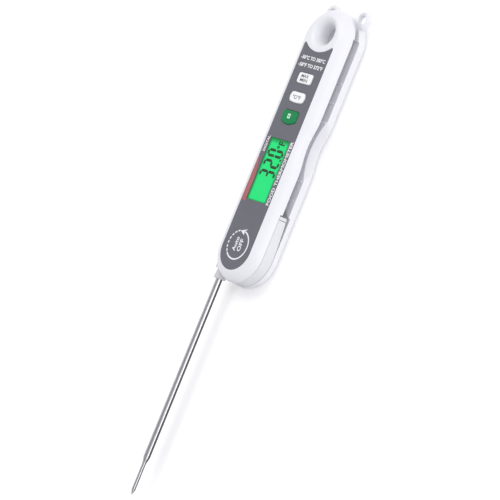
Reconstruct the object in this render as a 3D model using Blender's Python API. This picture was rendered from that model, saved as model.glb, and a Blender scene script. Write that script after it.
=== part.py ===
"""Folding food thermometer with a swing-out stem, modelled as its separate pieces.

Frame: the handle lies on its back. +X is the side with the storage slot, +Y runs up the handle
to the hanging hole, and +Z is the outward normal of the face with the display. The origin is on
the flat back, under the axis that the stem turns about. Named sizes are in millimetres and the
mesh builders scale them to metres.
"""

import math

import bmesh
import bpy

MM = 0.001
GAP = 0.3

# Handle
HALF_WIDTH = 18.0
TOP_ARC_Y = 122.0
THICKNESS = 18.0
FRONT_FILLET = 6.7
REAR_FILLET = 4.0
SPLIT_Z = 9.0
ARC_STEPS = 20
HOLE_Y = 125.3
HOLE_THROAT = 5.0
HOLE_FLARE = 5.2
HOLE_FLARE_DEPTH = 8.0
EAR_X = 13.0
EAR_Y = 138.4
EAR_RADIUS = 5.0
EAR_HOLE = 2.5
EAR_Z = (4.4, 7.6)

# Finger notch in the slot side
NOTCH_Y = (47.0, 80.0)
NOTCH_MIDDLE_Y = 63.5
NOTCH_DEPTH = 1.9
NOTCH_RADIUS = 40.0
NOTCH_TILT = 33.0
NOTCH_SURFACE_Z = 2.4

# Fork at the lower end, and the hub that turns in it
FORK_RADIUS = 30.5
FORK_Z = (5.5, 12.65)
HUB_RADIUS = 17.7
HUB_Z = (6.2, 12.35)
ARM_END_Y = 24.1
ARM_INNER_X = 5.0
UNDERCUT_START_Y = 4.0
UNDERCUT_DEGREES = 5.0
BOSS_X = (-17.3, -10.4)
BOSS_END_Y = -12.5
SLEEVE_RADIUS = 3.0
BUSHING_RADIUS = 4.3
WASHER_RADIUS = 7.2
WASHER_Z = (5.8, 6.7)
SEAL_RADII = (9.3, 10.7)
SEAL_DEPTH = 1.15
HUB_EDGE = 0.35
PIVOT_SCREW_RADIUS = 1.3
PIVOT_SCREW_END_Z = 14.6
SCREW_HEAD_RADIUS = 4.1
SCREW_HEAD_Z = (1.0, 3.0)
SCREW_SEAT_Z = 3.3
SLEEVE_BORE = 1.6
SLEEVE_END_Z = 14.9
HUB_MAGNET_X = (9.2, 12.8)
HUB_MAGNET_Y = (19.7, 23.3)
HUB_MAGNET_Z = (9.0, 12.0)

# Stem
STEM_X = -13.9
STEM_Z = 9.2
TUBE_RADIUS = 1.85
TUBE_WALL = 0.35
COLLAR_NECK_RADIUS = 2.65
COLLAR_RADIUS = 3.15
COLLAR_EDGE = 0.35
COLLAR_Y = (-12.8, -18.0)
TUBE_START_Y = -3.0
TAPER_Y = (-120.7, -125.7)
TIP_RADIUS = 1.05
TIP_WALL = 0.3
POINT_LENGTH = 3.2
TIP_END_Y = -(EAR_Y + EAR_RADIUS)
BEAD_RADIUS = 0.42
BEAD_Y = (-132.0, -133.6)
LEADS_RADIUS = 0.4
LEADS_Y = (-3.5, -131.7)

# Storage slot for the folded stem
SLOT_FLOOR_X = 10.5
SLOT_RIB_X = 11.7
SLOT_Z = (6.8, 11.4)
SLOT_START_Y = 20.0
SLOT_NECK_Y = 126.5
SLOT_END_Y = 150.0
SLOT_NECK_X = 12.2
SLOT_NECK_Z = (7.7, 10.7)
RIB_WIDTH = 0.9
RIB_YS = (34.4, 45.7, 79.6, 90.9, 102.2)

# Hollow inside the handle: a deep part behind the slot's wall, and a shallow part over it
DEEP_X = (-15.0, 9.2)
DEEP_Y = (36.5, 108.5)
DEEP_Z = (2.2, 12.6)
SHALLOW_X = (-13.0, 13.0)
SHALLOW_Y = (24.5, 108.5)
SHALLOW_Z = (13.5, 15.8)
JOINING_Z = (12.0, 14.0)

# Face label and display
LABEL_HALF_WIDTH = 12.05
LABEL_TOP_Y = 117.0
LABEL_DIP_RADIUS = 16.5
LABEL_DIP_Y = 113.7
LABEL_Z = (17.35, 17.75)
LABEL_FLOOR_Z = 17.05
WINDOW_HALF_WIDTH = 8.3
WINDOW_Y = (27.1, 63.3)
WINDOW_Z = (15.9, 17.55)
PANEL_HALF_WIDTH = 10.4
PANEL_Y = (25.2, 65.2)
PANEL_Z = (14.8, 15.6)
BACKLIGHT_Y = (25.6, 61.0)
BACKLIGHT_Z = (13.8, 14.5)
CONNECTOR_X = (-8.0, 8.0)
CONNECTOR_Y = (62.0, 64.4)

# Keys: name, centre y, half width, half height, bow of the lower edge, material
KEYS = (
    ("key_max_min", 98.2, 5.9, 3.0, 0.0, "key_white"),
    ("key_unit", 87.2, 5.9, 3.1, 0.0, "key_white"),
    ("key_light", 76.3, 6.2, 3.3, 1.3, "key_green"),
)
KEY_CORNER = 1.5
KEY_TOP_Z = 18.6
KEY_EDGE = 0.5
KEY_FLANGE = 0.8
KEY_FLANGE_Z = (14.6, 15.4)

# Electronics
BOARD_Z = (11.2, 12.4)
CHIP_X = (-7.0, 1.0)
CHIP_Y = (48.0, 56.0)
CHIP_HEIGHT = 1.2
REED_X = (-2.0, 8.0)
REED_Y = (38.5, 41.0)
REED_HEIGHT = 1.8
MEMBRANE_X = (-8.0, 8.0)
MEMBRANE_Y = (70.0, 104.0)
MEMBRANE_Z = (13.5, 14.0)
DOME_RADII = (2.6, 1.8)
DOME_Z = (12.7, 13.2)
CELL_X = -2.7
CELL_Y = 92.0
CELL_RADIUS = 10.0
CELL_Z = (4.0, 7.2)
CONTACT_HALF_LENGTH = 4.0
CONTACT_HALF_WIDTH = 2.0
CONTACT_THICKNESS = 0.5
CLIP_HALF_WIDTH = 3.0
CLIP_THICKNESS = 0.6
DOOR_RADIUS = 10.8
DOOR_Z = (0.3, 2.0)
DOOR_LUG_RADIUS = 11.8
DOOR_LUG_Z = (2.5, 3.3)
DOOR_LUG_HALF_ANGLE = 11.0
DOOR_LUG_ANGLES = (90.0, 210.0, 330.0)
DOOR_LUG_INNER = 8.4
DOOR_RIM_RADII = (7.6, 8.8)
DOOR_EDGE = 0.5
DOOR_TURN = 45.0
COIN_SLOT_HALF = (6.5, 0.9)
CUSHION_RADII = (5.6, 7.2)
MAGNET_X = -2.0
MAGNET_YS = (46.0, 62.0)
MAGNET_RADIUS = 5.0
MAGNET_HEIGHT = 2.0

# Screws that hold the shells together
SHELL_SCREWS = ((-11.0, 32.5), (5.0, 32.5), (-10.0, 113.0), (6.0, 112.6))
SHELL_SCREW_HEAD_RADIUS = 2.6
SHELL_SCREW_HEAD_Z = (0.9, 3.0)
SHELL_SCREW_RADIUS = 1.2
SHELL_SCREW_END_Z = 12.8

COLOURS = {
    "white_plastic": ((0.93, 0.93, 0.95), 0.35, 0.0),
    "label_grey": ((0.16, 0.16, 0.19), 0.45, 0.0),
    "display_green": ((0.05, 0.80, 0.22), 0.2, 0.0),
    "clear_plastic": ((0.80, 0.95, 0.85), 0.05, 0.0),
    "key_white": ((0.90, 0.90, 0.92), 0.4, 0.0),
    "key_green": ((0.01, 0.40, 0.10), 0.4, 0.0),
    "steel": ((0.62, 0.62, 0.63), 0.22, 1.0),
    "dark_rubber": ((0.05, 0.05, 0.05), 0.8, 0.0),
    "board_green": ((0.02, 0.20, 0.07), 0.5, 0.0),
    "chip_black": ((0.02, 0.02, 0.02), 0.4, 0.0),
    "brass": ((0.75, 0.58, 0.25), 0.3, 1.0),
    "wire_red": ((0.60, 0.05, 0.04), 0.5, 0.0),
}


def clear_scene():
    for obj in list(bpy.data.objects):
        bpy.data.objects.remove(obj)


def make_materials():
    materials = {}
    for name, (colour, roughness, metallic) in COLOURS.items():
        material = bpy.data.materials.new(name)
        material.use_nodes = True
        shader = material.node_tree.nodes["Principled BSDF"]
        shader.inputs["Base Color"].default_value = (*colour, 1.0)
        shader.inputs["Roughness"].default_value = roughness
        shader.inputs["Metallic"].default_value = metallic
        materials[name] = material
    return materials


# ---- outlines, as lists of (x, y) in millimetres, counter-clockwise ----


def arc(centre, radius, start, end, steps):
    """Points along an arc, both ends included; angles are in degrees."""
    points = []
    for step in range(steps + 1):
        angle = math.radians(start + (end - start) * step / steps)
        points.append((centre[0] + radius * math.cos(angle), centre[1] + radius * math.sin(angle)))
    return points


def circle(centre, radius, steps=32):
    return arc(centre, radius, 0, 360, steps)[:-1]


def rectangle(x_range, y_range):
    (x0, x1), (y0, y1) = x_range, y_range
    return [(x0, y0), (x1, y0), (x1, y1), (x0, y1)]


def notch(y):
    """How far the handle's slot side is drawn in at this height: a smooth dip."""
    share = (y - NOTCH_Y[0]) / (NOTCH_Y[1] - NOTCH_Y[0])
    if not 0.0 < share < 1.0:
        return 0.0
    return NOTCH_DEPTH * math.sin(math.pi * share) ** 2


def handle_outline(inset):
    """The handle seen from the front, moved inwards by inset, with the finger notch."""
    radius = HALF_WIDTH - inset
    sides = [NOTCH_Y[0] + (NOTCH_Y[1] - NOTCH_Y[0]) * step / 12 for step in range(13)]
    outline = arc((0, 0), radius, 180, 360, ARC_STEPS)
    outline += [(radius - notch(y), y) for y in sides]
    outline += arc((0, TOP_ARC_Y), radius, 0, 180, ARC_STEPS)
    return outline


def key_outline(half_width, half_height, bow, grow=0.0):
    """A key's outline about its own centre: round corners, and a lower edge that bows outwards."""
    w, h, r = half_width + grow, half_height + grow, KEY_CORNER + grow
    low = -h
    outline = arc((w - r, low + r), r, 270, 360, 4) + arc((w - r, h - r), r, 0, 90, 4)
    outline += arc((r - w, h - r), r, 90, 180, 4) + arc((r - w, low + r), r, 180, 270, 4)
    for step in range(1, 6):
        share = step / 6
        outline.append(((2 * share - 1) * (w - r), low - bow * math.sin(math.pi * share)))
    return outline


def hub_outline():
    """The hub's disc, its long arm on the slot side, and the boss that holds the stem."""
    root = math.degrees(math.acos(ARM_INNER_X / HUB_RADIUS))
    boss_low = 360 - math.degrees(math.acos(BOSS_X[1] / HUB_RADIUS))
    outline = [(HUB_RADIUS, ARM_END_Y), (ARM_INNER_X, ARM_END_Y)]
    outline += arc((0, 0), HUB_RADIUS, root, 180, 12)
    outline += [(-HUB_RADIUS, -2.0), (BOSS_X[0], -4.5)]
    outline += [(BOSS_X[0], BOSS_END_Y), (BOSS_X[1], BOSS_END_Y)]
    outline += arc((0, 0), HUB_RADIUS, boss_low, 360, 12)
    return outline


def slot_outline():
    """The storage slot seen from the front: its floor steps up to a rib at even distances."""
    floor = [(SLOT_FLOOR_X, SLOT_START_Y)]
    steps = [(y - RIB_WIDTH / 2, y + RIB_WIDTH / 2) for y in RIB_YS]
    steps.insert(2, (NOTCH_Y[0] + 3, NOTCH_Y[1] - 3))
    for low, high in steps:
        floor += [(SLOT_FLOOR_X, low), (SLOT_RIB_X, low), (SLOT_RIB_X, high), (SLOT_FLOOR_X, high)]
    floor.append((SLOT_FLOOR_X, SLOT_NECK_Y))
    outer = 2 * HALF_WIDTH
    return [(outer, SLOT_START_Y), (outer, SLOT_NECK_Y)] + floor[::-1]


def label_outline(grow=0.0):
    """The label: a half round below, and a hollow arc above that follows the hanging hole."""
    w = LABEL_HALF_WIDTH + grow
    radius = LABEL_DIP_RADIUS - grow
    centre_y = LABEL_DIP_Y + LABEL_DIP_RADIUS
    tip_x = w - 0.8
    reach = math.degrees(math.asin(min(1.0, (tip_x - 0.4) / radius)))
    outline = arc((0, 0), w, 180, 360, ARC_STEPS)
    outline += [(w, LABEL_TOP_Y - 1.0), (tip_x, LABEL_TOP_Y + grow)]
    outline += arc((0, centre_y), radius, 270 + reach, 270 - reach, 14)
    outline += [(-tip_x, LABEL_TOP_Y + grow), (-w, LABEL_TOP_Y - 1.0)]
    return outline


# ---- solids ----


def finish(name, bm, material, location=(0, 0, 0)):
    bmesh.ops.recalc_face_normals(bm, faces=bm.faces)
    mesh = bpy.data.meshes.new(name)
    bm.to_mesh(mesh)
    bm.free()
    mesh.shade_smooth()
    mesh.set_sharp_from_angle(angle=math.radians(35))
    obj = bpy.data.objects.new(name, mesh)
    obj.location = [value * MM for value in location]
    if material:
        mesh.materials.append(material)
    else:
        obj.hide_render = True
        obj.display_type = "WIRE"
    bpy.context.scene.collection.objects.link(obj)
    return obj


def loft(name, material, rings, location=(0, 0, 0)):
    """A closed solid through rings of (outline, z), all with the same number of points."""
    bm = bmesh.new()
    loops = [[bm.verts.new((x * MM, y * MM, z * MM)) for x, y in outline] for outline, z in rings]
    for low, high in zip(loops, loops[1:]):
        for here in range(len(low)):
            after = (here + 1) % len(low)
            bm.faces.new((low[here], low[after], high[after], high[here]))
    bm.faces.new(loops[0][::-1])
    bm.faces.new(loops[-1])
    return finish(name, bm, material, location)


def prism(name, material, outline, z_range, location=(0, 0, 0)):
    return loft(name, material, [(outline, z) for z in z_range], location)


def turned(name, material, profile, location=(0, 0, 0), steps=32, ring=False):
    """A solid of revolution about its own Z from (radius, z) points; a ring's profile closes."""
    bm = bmesh.new()
    loops = []
    for radius, z in profile:
        points = circle((0, 0), radius, steps) if radius else [(0, 0)]
        loops.append([bm.verts.new((x * MM, y * MM, z * MM)) for x, y in points])
    pairs = list(zip(loops, loops[1:] + loops[:1])) if ring else list(zip(loops, loops[1:]))
    for low, high in pairs:
        for here in range(steps):
            after = (here + 1) % steps
            if len(low) == 1:
                bm.faces.new((low[0], high[after], high[here]))
            elif len(high) == 1:
                bm.faces.new((low[here], low[after], high[0]))
            else:
                bm.faces.new((low[here], low[after], high[after], high[here]))
    return finish(name, bm, material, location)


def pin(name, material, radius, z_range, location=(0, 0, 0), steps=32):
    z0, z1 = z_range
    return turned(name, material, [(0, z0), (radius, z0), (radius, z1), (0, z1)], location, steps)


def tube(name, material, radii, z_range, location=(0, 0, 0), steps=32):
    (inner, outer), (z0, z1) = radii, z_range
    profile = [(inner, z0), (outer, z0), (outer, z1), (inner, z1)]
    return turned(name, material, profile, location, steps, ring=True)


def boolean(target, tool, operation):
    modifier = target.modifiers.new(f"{operation.lower()}_{tool.name}", "BOOLEAN")
    modifier.operation = operation
    modifier.solver = "EXACT"
    modifier.object = tool


def cut(target, *tools):
    for tool in tools:
        boolean(target, tool, "DIFFERENCE")


def join(target, *tools):
    for tool in tools:
        boolean(target, tool, "UNION")


# ---- the handle's two shells ----


def handle_rings():
    """Rings from the back to the front, with both edges rounded."""
    rings = []
    for step in range(5):
        angle = math.radians(90 * step / 4)
        inset = REAR_FILLET * (1 - math.sin(angle))
        rings.append((handle_outline(inset), REAR_FILLET * (1 - math.cos(angle))))
    for step in range(6):
        angle = math.radians(90 * step / 5)
        inset = FRONT_FILLET * (1 - math.cos(angle))
        height = THICKNESS - FRONT_FILLET * (1 - math.sin(angle))
        rings.append((handle_outline(inset), height))
    return rings


def hanging_hole_cutter():
    """A waisted pin: straight half way through the handle, and flared like a horn at both faces."""
    depth = HOLE_FLARE_DEPTH + 0.02
    turns = [math.radians(90 * step / 8) for step in range(9)]
    flare = [(HOLE_THROAT + HOLE_FLARE * (1 - math.cos(turn)), depth * math.sin(turn)) for turn in turns]
    top = [(radius, THICKNESS - HOLE_FLARE_DEPTH + rise) for radius, rise in flare]
    bottom = [(radius, HOLE_FLARE_DEPTH - rise) for radius, rise in flare[::-1]]
    outer = HOLE_THROAT + HOLE_FLARE
    profile = [(0, -1.0), (outer, -1.0), *bottom, *top, (outer, THICKNESS + 1), (0, THICKNESS + 1)]
    return turned("hanging_hole_cutter", None, profile, (0, HOLE_Y, 0), 36)


def notch_cutter():
    """A leaning cylinder that scoops the slot's rear wall, so a finger can lift the stem."""
    cutter = pin("notch_cutter", None, NOTCH_RADIUS, (-30, 30), steps=72)
    lean = math.radians(NOTCH_TILT)
    surface_x = HALF_WIDTH - NOTCH_DEPTH
    cutter.location = [
        (surface_x + NOTCH_RADIUS * math.cos(lean)) * MM,
        NOTCH_MIDDLE_Y * MM,
        (NOTCH_SURFACE_Z + NOTCH_RADIUS * math.sin(lean)) * MM,
    ]
    cutter.rotation_euler = (0, -lean, 0)
    return cutter


def battery_opening_cutter():
    """A round opening with three notches for the door's lugs, which lie a turn away."""
    outline = []
    radius = DOOR_RADIUS + GAP
    for angle in DOOR_LUG_ANGLES:
        middle = angle - DOOR_TURN
        edge = DOOR_LUG_HALF_ANGLE + 2.5
        outline += arc((0, 0), DOOR_LUG_RADIUS + GAP, middle - edge, middle + edge, 4)
        outline += arc((0, 0), radius, middle + edge, middle + 120 - edge, 10)
    z_range = (-1.0, DEEP_Z[0] + 1.0)
    return prism("battery_opening_cutter", None, outline, z_range, (CELL_X, CELL_Y, 0))


def hollow_cutters():
    deep = prism("deep_hollow_cutter", None, rectangle(DEEP_X, DEEP_Y), DEEP_Z)
    shallow = prism("shallow_hollow_cutter", None, rectangle(SHALLOW_X, SHALLOW_Y), SHALLOW_Z)
    joining = prism("joining_hollow_cutter", None, rectangle(DEEP_X, DEEP_Y), JOINING_Z)
    return [deep, shallow, joining]


def screw_hole_cutters(front):
    """Clear holes for the shell screws: blind in the front shell, with head seats in the rear."""
    bore = SHELL_SCREW_RADIUS + GAP
    seat = SHELL_SCREW_HEAD_RADIUS + GAP
    end = SHELL_SCREW_END_Z + GAP
    cutters = []
    for number, place in enumerate(SHELL_SCREWS, 1):
        if front:
            profile = [(0, 5.0), (bore, 5.0), (bore, end), (0, end)]
        else:
            profile = [(0, -1.0), (seat, -1.0), (seat, SCREW_SEAT_Z), (bore, SCREW_SEAT_Z)]
            profile += [(bore, 12.0), (0, 12.0)]
        side = "front" if front else "rear"
        cutters.append(turned(f"screw_hole_{side}_{number}", None, profile, (*place, 0), 16))
    return cutters


def make_front_shell(materials, shared):
    shell = loft("front_shell", materials["white_plastic"], handle_rings())
    keep_above = prism(
        "front_keep_cutter", None, rectangle((-40, 40), (-40, 180)), (-5, SPLIT_Z + GAP / 2)
    )
    recess = prism("label_recess_cutter", None, label_outline(GAP), (LABEL_FLOOR_Z, THICKNESS + 1))
    opening = prism(
        "window_opening_cutter",
        None,
        rectangle(
            (-WINDOW_HALF_WIDTH - 2 * GAP, WINDOW_HALF_WIDTH + 2 * GAP),
            (WINDOW_Y[0] - 2 * GAP, WINDOW_Y[1] + 2 * GAP),
        ),
        (SHALLOW_Z[1] - 0.5, THICKNESS),
    )
    sleeve_hole = pin("sleeve_hole_cutter", None, SLEEVE_RADIUS + GAP, (8.0, 15.2))
    key_holes = []
    for name, y, half_width, half_height, bow, _ in KEYS:
        outline = key_outline(half_width, half_height, bow, GAP)
        z_range = (SHALLOW_Z[1] - 0.5, 19.0)
        key_holes.append(prism(f"{name}_hole_cutter", None, outline, z_range, (0, y, 0)))
    cut(shell, keep_above, *shared, recess, opening, sleeve_hole, *key_holes)
    cut(shell, *screw_hole_cutters(True))
    return shell


def make_rear_shell(materials, shared):
    shell = loft("rear_shell", materials["white_plastic"], handle_rings())
    keep_below = prism(
        "rear_keep_cutter", None, rectangle((-40, 40), (-40, 180)), (SPLIT_Z - GAP / 2, 25)
    )
    seat, bore = SCREW_HEAD_RADIUS + GAP, SLEEVE_RADIUS + GAP
    profile = [(0, -1.0), (seat, -1.0), (seat, SCREW_SEAT_Z), (bore, SCREW_SEAT_Z)]
    profile += [(bore, 8.0), (0, 8.0)]
    pivot_hole = turned("pivot_hole_cutter", None, profile)
    cut(shell, keep_below, *shared, notch_cutter(), battery_opening_cutter(), pivot_hole)
    cut(shell, *screw_hole_cutters(False))
    for side, sign in (("left", -1), ("right", 1)):
        centre = (sign * EAR_X, EAR_Y)
        ear = loft(f"ear_{side}", None, ear_rings(centre))
        hole = pin(f"ear_{side}_hole_cutter", None, EAR_HOLE, (0, 12), (*centre, 0), 24)
        join(shell, ear)
        cut(shell, hole)
    return shell


def ear_rings(centre):
    """A thick disc with rounded edges, which a hole then makes a loop."""
    low, high = EAR_Z
    edge = 0.9
    steps = ((edge, low), (edge * 0.3, low + edge * 0.3), (0, low + edge))
    steps += ((0, high - edge), (edge * 0.3, high - edge * 0.3), (edge, high))
    return [(circle(centre, EAR_RADIUS - inset, 28), z) for inset, z in steps]


def make_shells(materials):
    fork = prism("fork_gap_cutter", None, circle((0, 0), FORK_RADIUS, 72), FORK_Z)
    slot = prism("storage_slot_cutter", None, slot_outline(), SLOT_Z)
    neck_outline = rectangle((SLOT_NECK_X, 2 * HALF_WIDTH), (SLOT_NECK_Y - 1, SLOT_END_Y))
    neck = prism("slot_neck_cutter", None, neck_outline, SLOT_NECK_Z)
    shared = [hanging_hole_cutter(), fork, slot, neck, *hollow_cutters()]
    make_front_shell(materials, shared)
    make_rear_shell(materials, shared)


# ---- the face: label, display and keys ----


def make_label(materials):
    label = prism("face_label", materials["label_grey"], label_outline(), LABEL_Z)
    window = prism(
        "label_window_cutter",
        None,
        rectangle((-WINDOW_HALF_WIDTH, WINDOW_HALF_WIDTH), WINDOW_Y),
        (16.0, 19.0),
    )
    cut(label, window)
    for name, y, half_width, half_height, bow, _ in KEYS:
        outline = key_outline(half_width, half_height, bow, GAP)
        cut(label, prism(f"{name}_label_cutter", None, outline, (16.0, 19.0), (0, y, 0)))


def make_display(materials):
    half_width = WINDOW_HALF_WIDTH - GAP
    window = rectangle((-half_width, half_width), (WINDOW_Y[0] + GAP, WINDOW_Y[1] - GAP))
    prism("lcd_window", materials["clear_plastic"], window, WINDOW_Z)
    panel = rectangle((-PANEL_HALF_WIDTH, PANEL_HALF_WIDTH), PANEL_Y)
    prism("lcd_panel", materials["display_green"], panel, PANEL_Z)
    backlight = rectangle((1 - PANEL_HALF_WIDTH, PANEL_HALF_WIDTH - 1), BACKLIGHT_Y)
    prism("lcd_backlight", materials["clear_plastic"], backlight, BACKLIGHT_Z)
    strip = rectangle(CONNECTOR_X, CONNECTOR_Y)
    strip_z = (BOARD_Z[1] + GAP, PANEL_Z[0] - GAP)
    prism("lcd_connector_strip", materials["dark_rubber"], strip, strip_z)


def make_key(materials, name, y, half_width, half_height, bow, material):
    """A key cap with a rounded top and a flange that keeps it in the shell."""
    flange = key_outline(half_width, half_height, bow, KEY_FLANGE)
    body = key_outline(half_width, half_height, bow)
    rings = [(flange, KEY_FLANGE_Z[0]), (flange, KEY_FLANGE_Z[1]), (body, KEY_FLANGE_Z[1] + 0.01)]
    for step in range(4):
        angle = math.radians(30 * step)
        inset = KEY_EDGE * (1 - math.cos(angle))
        ring = key_outline(half_width, half_height, bow, -inset)
        rings.append((ring, KEY_TOP_Z - KEY_EDGE * (1 - math.sin(angle))))
    loft(name, materials[material], rings, (0, y, 0))


# ---- electronics, cell and cell door ----


def make_electronics(materials):
    board = rectangle((DEEP_X[0] + 0.6, DEEP_X[1] - 0.4), (DEEP_Y[0] + 1.0, DEEP_Y[1] - 0.6))
    prism("circuit_board", materials["board_green"], board, BOARD_Z)
    low = BOARD_Z[0] - GAP
    chip_z, reed_z = (low - CHIP_HEIGHT, low), (low - REED_HEIGHT, low)
    prism("controller_chip", materials["chip_black"], rectangle(CHIP_X, CHIP_Y), chip_z)
    prism("reed_switch", materials["brass"], rectangle(REED_X, REED_Y), reed_z)
    membrane = rectangle(MEMBRANE_X, MEMBRANE_Y)
    prism("keypad_membrane", materials["dark_rubber"], membrane, MEMBRANE_Z)
    for number, (_, y, *_) in enumerate(KEYS, 1):
        (base, crown), (low, high) = DOME_RADII, DOME_Z
        profile = [(0, low), (base, low), (crown, high), (0, high)]
        turned(f"dome_switch_{number}", materials["steel"], profile, (0, y, 0), 20)


def make_cell(materials):
    place = (CELL_X, CELL_Y, 0)
    low, high = CELL_Z
    profile = [(0, low), (CELL_RADIUS - 0.4, low), (CELL_RADIUS, low + 0.4)]
    profile += [(CELL_RADIUS, high - 0.3), (CELL_RADIUS - 1.2, high), (0, high)]
    turned("coin_cell", materials["steel"], profile, place, 36)
    top = BOARD_Z[0] - GAP
    leaf_low = high + GAP
    half_length, half_width = CONTACT_HALF_LENGTH, CONTACT_HALF_WIDTH
    leaf_outline = rectangle((-half_length, half_length), (-half_width, half_width))
    leaf_z = (leaf_low, leaf_low + CONTACT_THICKNESS)
    leaf = prism("battery_contact_minus", materials["brass"], leaf_outline, leaf_z, place)
    leg_outline = rectangle((half_length - CLIP_THICKNESS, half_length), (-half_width, half_width))
    join(leaf, prism("contact_minus_leg", None, leg_outline, (leaf_low, top), place))
    clip_x = (CELL_X - CLIP_HALF_WIDTH, CELL_X + CLIP_HALF_WIDTH)
    clip_y = CELL_Y + CELL_RADIUS + GAP
    clip = rectangle(clip_x, (clip_y, clip_y + CLIP_THICKNESS))
    prism("battery_contact_plus", materials["brass"], clip, (low, top))


def make_battery_door(materials):
    """A round cover with a coin slot and three lugs behind the wall."""
    place = (CELL_X, CELL_Y, 0)
    low, high = DOOR_Z
    rim_inner, rim_outer = DOOR_RIM_RADII
    profile = [(0, low), (DOOR_RADIUS - DOOR_EDGE, low), (DOOR_RADIUS, low + DOOR_EDGE)]
    profile += [(DOOR_RADIUS, high), (rim_outer, high), (rim_outer, DOOR_LUG_Z[1])]
    profile += [(rim_inner, DOOR_LUG_Z[1]), (rim_inner, high), (0, high)]
    door = turned("battery_door", materials["white_plastic"], profile, place, 48)
    for number, angle in enumerate(DOOR_LUG_ANGLES, 1):
        start, end = angle - DOOR_LUG_HALF_ANGLE, angle + DOOR_LUG_HALF_ANGLE
        inner = arc((0, 0), DOOR_LUG_INNER, end, start, 4)
        outline = arc((0, 0), DOOR_LUG_RADIUS, start, end, 4) + inner
        join(door, prism(f"door_lug_{number}", None, outline, DOOR_LUG_Z, place))
        neck = arc((0, 0), DOOR_RADIUS - 0.1, start, end, 4) + inner
        neck_z = (high - 0.6, DOOR_LUG_Z[1] - 0.1)
        join(door, prism(f"door_neck_{number}", None, neck, neck_z, place))
    half_length, half_width = COIN_SLOT_HALF
    coin = rectangle((-half_length, half_length), (-half_width, half_width))
    cut(door, prism("coin_slot_cutter", None, coin, (-1.0, low + 1.0), place))
    cushion_z = (high + GAP, DOOR_LUG_Z[0] + GAP)
    tube("cell_cushion", materials["dark_rubber"], CUSHION_RADII, cushion_z, place, 40)


# ---- pivot, fasteners and magnets ----


def screw(name, material, head_radius, head_z, shank_radius, end_z, place):
    """A pan-head screw that points along +Z, with a cross recess in its head."""
    low, high = head_z
    profile = [(0, low), (head_radius - 0.4, low), (head_radius, low + 0.4), (head_radius, high)]
    profile += [(shank_radius, high), (shank_radius, end_z - 0.8), (0, end_z)]
    body = turned(name, material, profile, (*place, 0), 20)
    arm, half = head_radius * 0.6, head_radius * 0.13
    arms = (rectangle((-arm, arm), (-half, half)), rectangle((-half, half), (-arm, arm)))
    for number, outline in enumerate(arms, 1):
        recess_z = (low - 1, low + 0.9)
        cut(body, prism(f"{name}_recess_{number}", None, outline, recess_z, (*place, 0)))


def make_fasteners(materials):
    steel = materials["steel"]
    sleeve_z = (SCREW_HEAD_Z[1] + GAP, SLEEVE_END_Z)
    tube("pivot_sleeve", steel, (SLEEVE_BORE, SLEEVE_RADIUS), sleeve_z)
    pivot_shank = (PIVOT_SCREW_RADIUS, PIVOT_SCREW_END_Z)
    screw("pivot_screw", steel, SCREW_HEAD_RADIUS, SCREW_HEAD_Z, *pivot_shank, (0, 0))
    head = (SHELL_SCREW_HEAD_RADIUS, SHELL_SCREW_HEAD_Z)
    shank = (SHELL_SCREW_RADIUS, SHELL_SCREW_END_Z)
    for number, place in enumerate(SHELL_SCREWS, 1):
        screw(f"shell_screw_{number}", steel, *head, *shank, place)
    low = DEEP_Z[0] + GAP
    for number, y in enumerate(MAGNET_YS, 1):
        pin(f"magnet_{number}", steel, MAGNET_RADIUS, (low, low + MAGNET_HEIGHT), (MAGNET_X, y, 0), 28)


# ---- the folding stem ----


def along_stem(obj):
    """Turns a piece's own Z to point down the stem, with its zero under the pivot."""
    obj.location = (STEM_X * MM, 0, STEM_Z * MM)
    obj.rotation_euler = (math.radians(90), 0, 0)
    return obj


def arm_undercut():
    """Thins the hub's arm towards its end, so that a fingernail gets behind it."""
    outline = rectangle((ARM_INNER_X - 1, HALF_WIDTH + 2), (0, HALF_WIDTH + 12))
    place = (0, UNDERCUT_START_Y, HUB_Z[0])
    cutter = prism("arm_undercut_cutter", None, outline, (-6, 0), place)
    cutter.rotation_euler = (math.radians(UNDERCUT_DEGREES), 0, 0)
    return cutter


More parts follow.
